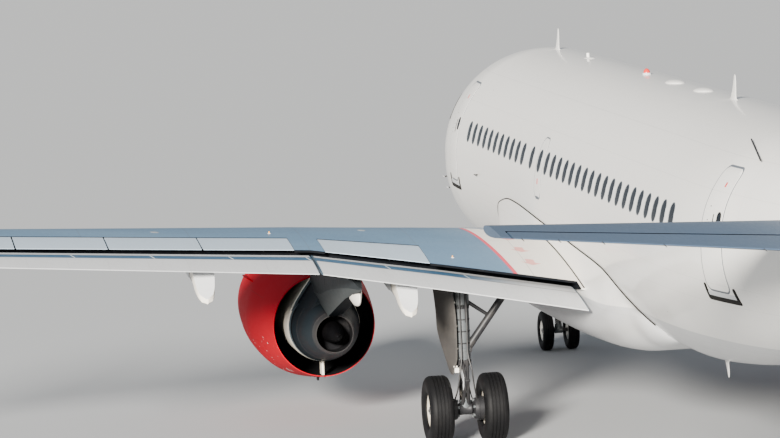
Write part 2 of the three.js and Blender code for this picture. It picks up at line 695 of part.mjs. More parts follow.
/** The elevator of one side and the tools that make room for it. */
function elevator(side, whole) {
  const lineAt = (x) => elevatorHinge(side, x).at[1];
  return split({
    whole,
    hinge: [elevatorHinge(side, ELEVATOR.from), elevatorHinge(side, ELEVATOR.to)],
    behind: allBehind(side, lineAt, ELEVATOR),
    room: allBehind(side, lineAt, ELEVATOR, ELEVATOR.gap),
    past: ELEVATOR.past,
  });
}

/** The point of the rudder's hinge line at height z, with the radius of the rudder's nose there. */
function rudderHinge(z) {
  const column = (name) => between(FIN, 'z', z, name);
  const radius = column('chord') * column('thick') * foilHalf(RUDDER.hinge);
  return { at: [0, column('s') + column('chord') * RUDDER.hinge, z], radius };
}

/** The rudder and the tools that make room for it in the fin. */
function rudder(whole) {
  const lineAt = (z) => rudderHinge(z).at[1];
  const behind = (gap) => {
    const [low, high] = [RUDDER.from - gap, RUDDER.to + gap];
    return sidePrism([[lineAt(low), low], [lineAt(high), high], [BEHIND, high], [BEHIND, low]]);
  };
  return split({
    whole,
    hinge: [rudderHinge(RUDDER.from), rudderHinge(RUDDER.to)],
    behind: behind(0),
    room: behind(RUDDER.gap),
    past: RUDDER.past,
  });
}

// Wing-to-body fairing under the hull
// s: section, half: half width, keel: height of its bottom, top: height where it meets the hull's side
const FAIRING = [
  { s: 9250, half: 1500, keel: 1740, top: 2300 },
  { s: 9500, half: 1860, keel: 1680, top: 3080 },
  { s: 10000, half: 1940, keel: 1600, top: 3420 },
  { s: 11200, half: 1990, keel: 1510, top: 3570 },
  { s: 14100, half: 1975, keel: 1530, top: 3420 },
  { s: 17000, half: 1940, keel: 1610, top: 3240 },
  { s: 18600, half: 1870, keel: 1710, top: 3110 },
  { s: 19800, half: 1640, keel: 1870, top: 2720 },
  { s: 20700, half: 1330, keel: 1950, top: 2240 },
];
const FAIRING_CORNER = { steps: 5, radius: 760 }; // its lower corner
const FAIRING_INNER = 900; // how far out its open top starts, inside the hull
const FAIRING_LIP = 12; // how far its top edge stands off the hull's side

/** One ring of the fairing: flat below, round at its lower corners, upright at its sides. */
function fairingRing({ s, half, keel, top }, grow) {
  const radius = Math.min(FAIRING_CORNER.radius, (top - keel) * 0.8);
  const reach = radius + grow;
  const corner = Array.from({ length: FAIRING_CORNER.steps + 1 }, (_, i) => {
    const angle = ((Math.PI / 2) * i) / FAIRING_CORNER.steps;
    return [half - radius + reach * Math.cos(angle), keel + radius - reach * Math.sin(angle)];
  });
  const right = [[FAIRING_INNER, top + grow], [hullSide(s, top) + FAIRING_LIP + grow, top + grow], ...corner];
  const left = right.map(([x, z]) => [-x, z]).reverse();
  return [...right, ...left].map(([x, z]) => point(x, s, z));
}

/** The whole fairing before the hull and the wings are cut out of it. */
const fairing = (grow = 0) => loft(FAIRING.map((row) => fairingRing(row, grow)));

// Engine: profiles of [s, radius] about its own line
const NACELLE_OUTER = [
  [9200, 905], [9250, 945], [9480, 995], [10000, 1045], [10700, 1095], [11500, 1105], [12500, 1015],
  [13480, 890],
];
const NACELLE_INNER = [
  [13480, 868], [12600, 940], [11500, 945], [10700, 890], [10000, 882], [9600, 845], [9280, 868],
];
const CORE = [
  [10640, 0], [10640, 290], [10900, 430], [11300, 560], [12000, 640], [13200, 640], [13900, 535],
  [14720, 322], [14720, 302], [14300, 318], [14200, 200], [14850, 120], [15150, 0],
];
const FAN = {
  front: 9880, hub: 10260, rear: 10610, shaftEnd: 10850, hubRadius: 285, tipRadius: 862, shaft: 60,
  blades: 24, chord: 230, thick: 14, sunk: 40,
};
// radius: of a blade's section, pitch: its turn off the fan's axis in degrees, share: of the full chord
const BLADE_SECTIONS = [
  { radius: FAN.hubRadius - FAN.sunk, pitch: 28, share: 0.75 },
  { radius: FAN.tipRadius, pitch: 62, share: 1 },
];
const VANES = { count: 8, s: 11150, length: 260, thick: 26, middle: 725, span: 460 };

/** The cowl round one engine, with its walls thicker by `grow`. */
function nacelle(side, grow = 0) {
  const outer = NACELLE_OUTER.map(([s, r]) => [s, r + grow]);
  const inner = NACELLE_INNER.map(([s, r]) => [s, r - grow]);
  return turned([...outer, ...inner, outer[0]], side * ENGINE_X, ENGINE_Z);
}

/** A bar on an engine's line, from inside the fan's hub back to place s. */
function shaftBar(side, s, radius) {
  return bar([side * ENGINE_X, FAN.rear - 50, ENGINE_Z], [side * ENGINE_X, s, ENGINE_Z], radius, AXLE_SIDES);
}

/** The engine's core with its nozzle, plug and outlet guide vanes. */
function core(side, grow = 0) {
  const body = turned(CORE.map(([s, r]) => [s, r > 0 ? r + grow : 0]), side * ENGINE_X, ENGINE_Z);
  const vanes = Array.from({ length: VANES.count }, (_, i) => {
    const geometry = new THREE.BoxGeometry(VANES.thick, VANES.length, VANES.span);
    geometry.translate(0, 0, VANES.middle);
    geometry.rotateY((2 * Math.PI * (i + 0.5)) / VANES.count);
    geometry.translate(side * ENGINE_X, aft(VANES.s), ENGINE_Z);
    return solid(geometry);
  });
  const bore = shaftBar(side, FAN.shaftEnd + CLEAR, boreRadius(FAN.shaft, AXLE_SIDES));
  return cut(join([body, ...vanes]), [nacelle(side, SEAT), bore]);
}

/** The fan: a spinner, a hub with its blades, and the shaft that it turns on. */
function fan(side) {
  const hub = turned([
    [FAN.front, 0], [FAN.front + 130, 150], [FAN.hub, FAN.hubRadius - 10], [FAN.rear, FAN.hubRadius],
    [FAN.rear, 0],
  ], side * ENGINE_X, ENGINE_Z, FAN.blades / 2);
  const shaft = shaftBar(side, FAN.shaftEnd, FAN.shaft);
  const step = (2 * Math.PI) / FAN.blades;
  const blades = Array.from({ length: FAN.blades }, (_, i) => blade(step * (i + 0.5), side));
  return join([hub, shaft, ...blades]);
}

/** One twisted fan blade: a thin rectangle at its root and another at its tip. */
function blade(angle, side) {
  const rings = BLADE_SECTIONS.map(({ radius, pitch, share }) => {
    const turn = THREE.MathUtils.degToRad(pitch);
    return [[-1, -1], [1, -1], [1, 1], [-1, 1]].map(([along, across]) => {
      const a = (along * FAN.chord * share) / 2;
      const b = (across * FAN.thick) / 2;
      const tangent = a * Math.sin(turn) + b * Math.cos(turn);
      const axial = a * Math.cos(turn) - b * Math.sin(turn);
      const corner = new THREE.Vector3(tangent, axial, radius);
      corner.applyAxisAngle(new THREE.Vector3(0, 1, 0), angle);
      return corner.add(point(side * ENGINE_X, (FAN.hub + FAN.rear) / 2 - 10, ENGINE_Z));
    });
  });
  return loft(rings);
}

// Pylon: its side view as [s, z] corners, and its plan as [s, half width] pairs
const PYLON = [
  [10950, 2850], [11250, 2990], [12700, 3170], [13500, 3300], [16300, 3200], [17300, 3060], [17950, 2940],
  [17900, 2860], [16800, 2640], [15350, 2230], [14720, 2112], [14300, 2175], [13900, 2200], [11900, 2200],
  [11900, 2600],
];
const PYLON_HALF = 205;
const PYLON_PLAN = [[10900, 30], [11500, 120], [12700, 205], [15800, 205], [17000, 150], [17980, 25]];

/** The pylon between an engine and the wing, before its neighbours are cut out of it. */
function pylon(side) {
  const x = side * ENGINE_X;
  const plate = sidePrism(PYLON, x - PYLON_HALF, x + PYLON_HALF);
  const outboard = PYLON_PLAN.map(([s, half]) => [x + half, s]);
  const inboard = PYLON_PLAN.slice().reverse().map(([s, half]) => [x - half, s]);
  return plate.intersect(planPrism([...outboard, ...inboard]));
}

// Flap track fairings
// x: place across, from: front tip, front: height of its front, half: half width,
// depth: share of the full depth
const TRACKS = [
  { flap: 'flap_inboard', x: 4950, from: 14500, front: 2960, half: 175, depth: 1 },
  { flap: 'flap_outboard', x: 8330, from: 15750, front: 3310, half: 175, depth: 1 },
  { flap: 'flap_outboard', x: 12000, from: 17500, front: 3810, half: 150, depth: 0.85 },
];
// ahead: distance ahead of the flap's rear edge, width: share of the half width, low and top: how far its
// keel and its deck lie under that edge; without a top it reaches up into the wing or the flap
const TRACK_TAIL = [
  { ahead: 1700, width: 1, low: 235 },
  { ahead: 900, width: 1, low: 265 },
  { ahead: 460, width: 0.95, low: 395 },
  { ahead: 380, width: 0.9, low: 425, top: 58 },
  { ahead: 20, width: 0.08, low: 520, top: 440 },
];
const TRACK_FRONT = [{ share: 0, width: 0.12, low: 0 }, { share: 0.4, width: 0.7, low: 0.5 }];
const TRACK_BELLY = [[1, 0.42], [0.8, 0.12], [0.35, 0], [-0.35, 0], [-0.8, 0.12], [-1, 0.42]];

/** The height of the middle of the wing, or of the flap behind it, at station x and place s. */
function trackLid(x, s) {
  const wing = station(WING, x);
  if (s < station(REAR, x).cove) return wing.front + ((wing.rear - wing.front) * (s - wing.s)) / wing.chord;
  const row = station(FLAP, x);
  const share = (s - row.s) / (row.tail_s - row.s);
  return row.z + (row.tail_z - row.z) * share;
}

/** One boat-shaped fairing under the wing, before the wing is cut out of it. */
function trackFairing(side, { x, from, front, half, depth }) {
  const flap = station(FLAP, x);
  const tail = TRACK_TAIL.map(({ ahead, width, low, top }) => {
    const s = flap.tail_s - ahead;
    const lid = top ? flap.tail_z - top * depth : trackLid(x, s);
    return { s, width, bottom: flap.tail_z - low * depth, lid };
  });
  const head = TRACK_FRONT.map(({ share, width, low }) => {
    const s = from + (tail[0].s - from) * share;
    return { s, width, bottom: front + (tail[0].bottom - front) * low, lid: trackLid(x, s) };
  });
  return loft([...head, ...tail].map(({ s, width, bottom, lid }) => {
    const w = half * width;
    const belly = TRACK_BELLY.map(([across, up]) => [w * across, bottom + (lid - bottom) * up]);
    return [[w, lid], ...belly, [-w, lid]].map(([dx, z]) => point(side * x + dx, s, z));
  }));
}

// Wheels
const MAIN_TYRE = { radius: 584, half: 205, rim: 290, spacing: 927, axle: 55 };
const NOSE_TYRE = { radius: 381, half: 108, rim: 200, spacing: 500, axle: 35 };

/** A tyre with rounded shoulders, centred at distance x across the aircraft, standing on one of its flats. */
function tyre({ radius, half, rim }, x, s) {
  const tread = radius / Math.cos(Math.PI / WHEEL_SIDES);
  const wall = rim + 0.55 * (tread - rim);
  const right = [[half * 0.45, tread], [half * 0.8, tread * 0.95], [half, wall], [half * 0.7, rim]];
  const left = right.map(([a, r]) => [-a, r]).reverse();
  return turnedAcross([...left, ...right, left[0]].map(([a, r]) => [a + x, r]), s, radius);
}

/** A pair of rims on one axle, centred at distance x across the aircraft. */
function wheelPair({ radius, half, rim, spacing, axle }, x, s) {
  const rims = [-1, 1].map((end) => {
    const middle = x + (end * spacing) / 2;
    const w = half * 0.6;
    const seat = rim - (SEAT + 0.2) / Math.cos(Math.PI / WHEEL_SIDES);
    const profile = [
      [-w, 0], [-w, seat], [w, seat], [w * 0.4, seat * 0.8], [w * 0.4, seat * 0.4], [w, seat * 0.34], [w, 0],
    ];
    return turnedAcross(profile.map(([a, r]) => [middle + end * a, r]), s, radius);
  });
  const shaft = bar([x - spacing / 2, s, radius], [x + spacing / 2, s, radius], axle, AXLE_SIDES);
  return join([...rims, shaft]);
}

// Landing gear legs
const MAIN_LEG = { top: 3150, sleeve: 1330, outer: 135, inner: 98, knuckle: 120 };
const NOSE_LEG = { top: NOSE_BAY.top - SEAT, sleeve: 1120, outer: 92, inner: 64, knuckle: 78, split: 1010 };
// The bars of each leg; from and to: their ends as [distance inboard of the leg, distance aft of it, height]
const MAIN_LEG_BARS = [
  { part: 'upper torque link', from: [0, 60, 1450], to: [0, 330, 1090], radius: 34 },
  { part: 'lower torque link', from: [0, 330, 1110], to: [0, 60, 674], radius: 34 },
  { part: 'side stay', from: [0, 0, 1500], to: [740, 0, 2480], radius: 52 },
  { part: 'side stay root', from: [700, 0, 2420], to: [860, -40, 3000], radius: 60 },
  { part: 'lock link', from: [60, -20, 2420], to: [470, -20, 2130], radius: 36 },
  { part: 'drag brace', from: [0, -60, 1900], to: [0, -560, 3000], radius: 60 },
];
const NOSE_LEG_BARS = [
  { part: 'drag stay', from: [0, -40, 1330], to: [0, -700, 2120], radius: 42 },
  { part: 'drag stay pin', from: [-270, -700, 2105], to: [270, -700, 2105], radius: 40 },
  { part: 'leg pin', from: [-330, 0, 2080], to: [330, 0, 2080], radius: 60 },
];
const NOSE_STEERING_BARS = [
  { part: 'upper torque link', from: [0, 60, 965], to: [0, 250, 740], radius: 22 },
  { part: 'lower torque link', from: [0, 250, 755], to: [0, 40, 441], radius: 22 },
];
const TOW_LUG = { half: 42, ahead: 150 }; // the flat-fronted lug that a tow bar meets, ahead of the nose axle
const AXLE_HOUSING = { main: 105, nose: 70 };

/** The bars of a table, about a leg at x and s whose inboard side is towards -side. */
function legBars(table, side, x, s) {
  const end = ([inboard, behind, z]) => [x - side * inboard, s + behind, z];
  return table.map(({ from, to, radius }) => bar(end(from), end(to), radius));
}

/** The bore for a pair of wheels' axle through the foot of a leg. */
function axleBore({ radius, spacing, axle }, x, s) {
  return bar([x - spacing, s, radius], [x + spacing, s, radius], boreRadius(axle, AXLE_SIDES), AXLE_SIDES);
}

/** A main gear leg with its axle housing, torque links and folding side stay. */
function mainLeg(side) {
  const x = side * MAIN_GEAR_X;
  const s = MAIN_GEAR_S;
  const axleZ = MAIN_TYRE.radius;
  const { top, sleeve, outer, inner, knuckle } = MAIN_LEG;
  return join([
    bar([x, s, top], [x, s, sleeve], outer, LEG_SIDES),
    bar([x, s, sleeve + 60], [x, s, axleZ], inner, LEG_SIDES),
    bar([x - knuckle, s, axleZ], [x + knuckle, s, axleZ], AXLE_HOUSING.main, LEG_SIDES),
    ...legBars(MAIN_LEG_BARS, side, x, s),
  ]).subtract(axleBore(MAIN_TYRE, x, s));
}

/** An upright panel `thick` deep outboard of x, by rows of height, front, rear and distance out. */
function sidePanel(rows, side, x, thick) {
  return loft(rows.map(({ z, from, to, out }) => {
    const corners = [[0, from], [0, to], [thick, to], [thick, from]];
    return corners.map(([depth, s]) => point(x + side * (out + depth), s, z));
  }));
}

// z: height, from and to: front and rear edge, out: how far out of the leg the panel's inner face lies
const MAIN_GEAR_DOOR = [
  { z: 1180, from: 15830, to: 16420, out: 60 },
  { z: 1500, from: 15640, to: 16560, out: 0 },
  { z: 2200, from: 15560, to: 16640, out: 0 },
  { z: 2790, from: 15560, to: 16640, out: 60 },
];
const MAIN_GEAR_DOOR_THICK = 34;

/** The fairing panel on the outboard side of a main gear leg. */
function mainLegDoor(side) {
  const x = MAIN_GEAR_X + MAIN_LEG.outer * Math.cos(Math.PI / LEG_SIDES) + SEAT;
  return sidePanel(MAIN_GEAR_DOOR, side, side * x, MAIN_GEAR_DOOR_THICK);
}

/** The fixed part of the nose leg, in its bay, with its drag stay. */
function noseLeg() {
  const s = NOSE_GEAR_S;
  const { top, sleeve, split: foot, outer } = NOSE_LEG;
  return join([
    bar([0, s, top], [0, s, sleeve], outer, LEG_SIDES),
    bar([0, s, sleeve], [0, s, foot], outer + 26, LEG_SIDES),
    ...legBars(NOSE_LEG_BARS, PORT, 0, s),
  ]);
}

/** The part of the nose leg that steers, with its axle housing and torque links. */
function noseSteering() {
  const s = NOSE_GEAR_S;
  const axleZ = NOSE_TYRE.radius;
  const { split: head, outer, inner, knuckle } = NOSE_LEG;
  const { half, ahead } = TOW_LUG;
  return join([
    bar([0, s, head - SEAT], [0, s, head - 60], outer + 20, LEG_SIDES),
    bar([0, s, head - 30], [0, s, axleZ], inner, LEG_SIDES),
    bar([-knuckle, s, axleZ], [knuckle, s, axleZ], AXLE_HOUSING.nose, LEG_SIDES),
    ...legBars(NOSE_STEERING_BARS, PORT, 0, s),
    box([-half, s - ahead, axleZ - half], [half, s, axleZ + half]),
  ]).subtract(axleBore(NOSE_TYRE, 0, s));
}

const NOSE_GEAR_DOOR = [
  { z: 1150, from: 5000, to: 5950, out: 110 },
  { z: 1400, from: 5000, to: 5950, out: 70 },
  { z: 1900, from: 5000, to: 5950, out: 0 },
];
const NOSE_GEAR_DOOR_THICK = 28;
const NOSE_GEAR_DOOR_X = NOSE_BAY.half + 25;

/** One of the two doors beside the nose leg, hanging from the edge of the bay. */
function noseGearDoor(side) {
  const panel = sidePanel(NOSE_GEAR_DOOR, side, side * NOSE_GEAR_DOOR_X, NOSE_GEAR_DOOR_THICK);
  return panel.subtract(grownHull());
}

// The aircraft put together

const grownWing = (side) => cleanWing(side, SEAT);
const bothWings = () => SIDES.map(({ side }) => grownWing(side));

for (const { side, suffix } of SIDES) {
  const clean = cleanWing(side);
  const groups = SPOILER_SPANS.map((span) => ({
    name: `${span.name}_${suffix}`, ...spoilers(side, clean, span),
  }));
  const roll = aileron(side, clean);
  const body = cut(openedWing(side, clean), [...groups.flatMap((group) => group.tools), ...roll.tools]);
  place(`wing_${suffix}`, join([body, fence(side), wingJackPad(side)]), 'wing');
  for (const group of groups) place(group.name, group.panel, 'wing');
  place(`aileron_${suffix}`, roll.moving, 'wing');
}

for (const { side, suffix } of SIDES) {
  for (const span of FLAP_SPANS) {
    const tracks = TRACKS.filter((track) => track.flap === span.name);
    const carried = tracks.map((track) => trackFairing(side, track).subtract(grownWing(side)));
    place(`${span.name}_${suffix}`, join([flap(side, span), ...carried]), 'grey');
  }
  const grownFlaps = FLAP_SPANS.map((span) => flap(side, span, SEAT));
  const neighbours = [grownWing(side), nacelle(side, SEAT), core(side, SEAT), ...grownFlaps];
  place(`pylon_${suffix}`, cut(pylon(side), neighbours), 'grey');
  place(`nacelle_${suffix}`, nacelle(side), 'red');
  place(`engine_core_${suffix}`, core(side), 'dark');
  place(`fan_${suffix}`, fan(side), 'metal');
}

for (const { side, suffix } of SIDES) {
  const whole = cleanTailplane(side);
  const { moving, tools } = elevator(side, whole);
  place(`tailplane_${suffix}`, cut(whole, [...tools, grownHull()]), 'wing');
  place(`elevator_${suffix}`, moving, 'wing');
}

const fin = cleanFin();
const { moving: rudderBody, tools: rudderTools } = rudder(fin);
place('fin', cut(fin, [...rudderTools, grownHull()]), 'white');
place('rudder', rudderBody, 'white');

const doors = DOORS.map((spec) => ({ ...spec, ...door(spec) }));
for (const { name, panel } of doors) place(name, panel, 'white');

for (const { name, from, to } of SECTIONS) {
  const body = hullBetween(from, to === HULL_END ? to : to - SEAT);
  const tools = doors.filter((spec) => spec.section === name).flatMap((spec) => spec.tools);
  const added = AERIALS.filter((spec) => spec.section === name).map(aerial);
  if (name === 'nose_section') {
    place('cockpit_glazing', hullBetween(from + SEAT, to).intersect(glazingPrism(4 * SEAT)), 'glass');
    tools.push(glazingPrism(), noseBay());
    added.push(jackPad([0, NOSE_JACK_S, hull(NOSE_JACK_S, 'keel')]));
  }
  if (name === 'fuselage_forward' || name === 'fuselage_centre') tools.push(...bothWings());
  place(name, cut(join([body, ...added]), tools), 'white');
}
place('belly_fairing', cut(fairing(), [grownHull(), ...bothWings()]), 'grey');

for (const { side, suffix } of SIDES) {
  const x = side * MAIN_GEAR_X;
  place(`main_gear_leg_${suffix}`, mainLeg(side).subtract(grownWing(side)), 'gear');
  place(`main_gear_door_${suffix}`, mainLegDoor(side), 'grey');
  place(`main_wheels_${suffix}`, wheelPair(MAIN_TYRE, x, MAIN_GEAR_S), 'metal');
  for (const [end, label] of [[1, 'outer'], [-1, 'inner']]) {
    const tyreX = x + (side * end * MAIN_TYRE.spacing) / 2;
    place(`main_tyre_${label}_${suffix}`, tyre(MAIN_TYRE, tyreX, MAIN_GEAR_S), 'rubber');
  }
}

place('nose_gear_leg', noseLeg(), 'gear');
place('nose_gear_steering', noseSteering(), 'gear');
place('nose_wheels', wheelPair(NOSE_TYRE, 0, NOSE_GEAR_S), 'metal');
for (const { side, suffix } of SIDES) {
  place(`nose_tyre_${suffix}`, tyre(NOSE_TYRE, (side * NOSE_TYRE.spacing) / 2, NOSE_GEAR_S), 'rubber');
  place(`nose_gear_door_${suffix}`, noseGearDoor(side), 'white');
}

export default airliner;
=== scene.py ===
"""A short twin-engined narrow-body airliner, parked on its gear, dressed for a studio picture.

Frame: metres, +Z up, nose towards -Y, port wing towards +X, the origin on the ground under the middle of the
aircraft's box. Places along the aircraft are written as s, the distance aft of the nose tip.
"""

import json
import logging
import math
from collections.abc import Sequence
from dataclasses import dataclass, field
from enum import Enum
from functools import reduce

import bmesh
import bpy
import numpy as np
from mathutils import Matrix, Vector


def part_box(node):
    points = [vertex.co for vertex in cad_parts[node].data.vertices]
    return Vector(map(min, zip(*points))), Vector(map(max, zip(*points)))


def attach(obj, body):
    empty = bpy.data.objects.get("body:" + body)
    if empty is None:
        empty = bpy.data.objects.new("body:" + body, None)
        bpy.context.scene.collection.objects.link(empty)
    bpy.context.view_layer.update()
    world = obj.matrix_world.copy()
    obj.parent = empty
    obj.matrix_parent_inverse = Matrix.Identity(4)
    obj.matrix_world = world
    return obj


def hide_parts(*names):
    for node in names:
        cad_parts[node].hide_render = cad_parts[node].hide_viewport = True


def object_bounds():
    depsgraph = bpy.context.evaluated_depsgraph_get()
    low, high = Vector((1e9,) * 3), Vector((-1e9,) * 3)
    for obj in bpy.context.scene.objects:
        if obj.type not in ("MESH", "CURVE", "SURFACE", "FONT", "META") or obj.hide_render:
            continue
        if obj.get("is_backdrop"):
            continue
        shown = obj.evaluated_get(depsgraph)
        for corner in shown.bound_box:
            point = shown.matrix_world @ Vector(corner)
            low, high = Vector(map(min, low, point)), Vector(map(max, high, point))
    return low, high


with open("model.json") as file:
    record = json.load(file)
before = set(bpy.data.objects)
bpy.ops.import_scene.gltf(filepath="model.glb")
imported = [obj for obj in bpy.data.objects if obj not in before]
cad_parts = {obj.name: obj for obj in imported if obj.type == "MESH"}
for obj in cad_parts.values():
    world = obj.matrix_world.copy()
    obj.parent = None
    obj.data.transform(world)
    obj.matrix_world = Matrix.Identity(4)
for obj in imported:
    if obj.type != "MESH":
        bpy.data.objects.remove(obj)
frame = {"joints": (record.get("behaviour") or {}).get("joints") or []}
CAD_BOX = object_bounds()

Array = np.ndarray
Colour = tuple[float, float, float]
Place = tuple[float, float, float]
log = logging.getLogger("airliner")

NOSE_Y = CAD_BOX[0].y  # the nose tip is the foremost point
TURN = 2 * math.pi
PIVOTS = {joint["name"]: joint["pos_m"] for joint in frame["joints"]}
ENGINE_X, ENGINE_Z = 5.75, 1.80


class Side(Enum):
    """A side of the aircraft, with the sign of its X."""

    LEFT = 1
    RIGHT = -1

    @property
    def label(self) -> str:
        """The side's name as the nodes have it."""
        return self.name.lower()


# Arrays of points


def aft(s: Array | float) -> Array | float:
    """The Y coordinate of a distance aft of the nose tip."""
    return s + NOSE_Y


def stack(x: Array | float, s: Array | float, z: Array | float) -> Array:
    """Points from distances across, aft and up, broadcast against each other."""
    return np.stack(np.broadcast_arrays(x, aft(np.asarray(s, float)), z), -1)


def steps(places: Sequence[float], pitch: float) -> Array:
    """All the given places in order, with equal steps of at most `pitch` between them."""
    runs = [np.linspace(a, b, max(2, math.ceil((b - a) / pitch) + 1)) for a, b in zip(places, places[1:])]
    return np.unique(np.round(np.concatenate(runs), 6))


class Table:
    """Rows of named numbers along a first column."""

    def __init__(self, columns: str, *rows: tuple[float, ...]) -> None:
        """Keeps the column names and the rows."""
        self.names = columns.split()
        self.rows = np.array(rows, float)

    @property
    def places(self) -> list[float]:
        """The first column."""
        return self.rows[:, 0].tolist()

    def straight(self, column: str, place: Array | float) -> Array:
        """A column at a place, on straight lines between the rows."""
        return np.interp(place, self.rows[:, 0], self.rows[:, self.names.index(column)])

    def smooth(self, column: str, place: Array | float) -> Array:
        """A column at a place, on cubic curves between the rows that never overshoot.

        Each row's slope is the harmonic mean of the slopes beside it, or 0 at a peak, and two rows with their
        slopes give a cubic Hermite curve.

        Args:
            column: name of the column.
            place: places along the first column.

        Returns:
            The column's values at those places.
        """
        x, y = self.rows[:, 0], self.rows[:, self.names.index(column)]
        place = np.clip(np.asarray(place, float), x[0], x[-1])
        step = np.diff(x)
        rise = np.diff(y) / step
        product = rise[:-1] * rise[1:]
        total = rise[:-1] + rise[1:]
        mean = np.where(product > 0, 2 * product / np.where(product > 0, total, 1), 0)
        slope = np.concatenate([rise[:1], mean, rise[-1:]])
        k = np.clip(np.searchsorted(x, place, side="right") - 1, 0, len(step) - 1)
        t = (place - x[k]) / step[k]
        rest = 1 - t
        ends = y[k] * rest**2 * (1 + 2 * t) + y[k + 1] * t**2 * (1 + 2 * rest)
        return ends + step[k] * t * rest * (slope[k] * rest - slope[k + 1] * t)


def rounded(half_a: float, half_b: float, radius: float, arc: int = 5, side: int = 3) -> Array:
    """A rounded rectangle about the origin: four quarter circles joined by straight sides.

    Args:
        half_a: half its width.
        half_b: half its height.
        radius: of its corners.
        arc: steps round each corner.
        side: steps along each side.

    Returns:
        Its points in order, as rows of two numbers.
    """
    radius = max(min(radius, half_a, half_b), 0.0)
    quarter = np.arange(4)[:, None]
    angle = quarter * math.pi / 2 + np.linspace(0, math.pi / 2, arc + 1)
    sign_a, sign_b = np.array([1, -1, -1, 1])[:, None], np.array([1, 1, -1, -1])[:, None]
    corners = np.stack(
        [sign_a * (half_a - radius) + radius * np.cos(angle), sign_b * (half_b - radius) + radius * np.sin(angle)], -1
    )
    share = np.linspace(0, 1, side + 1)[1:-1, None]
    ends, starts = corners[:, -1], np.roll(corners[:, 0], -1, axis=0)
    sides = ends[:, None] * (1 - share) + starts[:, None] * share
    return np.concatenate([corners, sides], axis=1).reshape(-1, 2)


def unit(vectors: Array) -> Array:
    """The vectors at length 1."""
    return vectors / np.maximum(np.linalg.norm(vectors, axis=-1, keepdims=True), 1e-12)


# Meshes


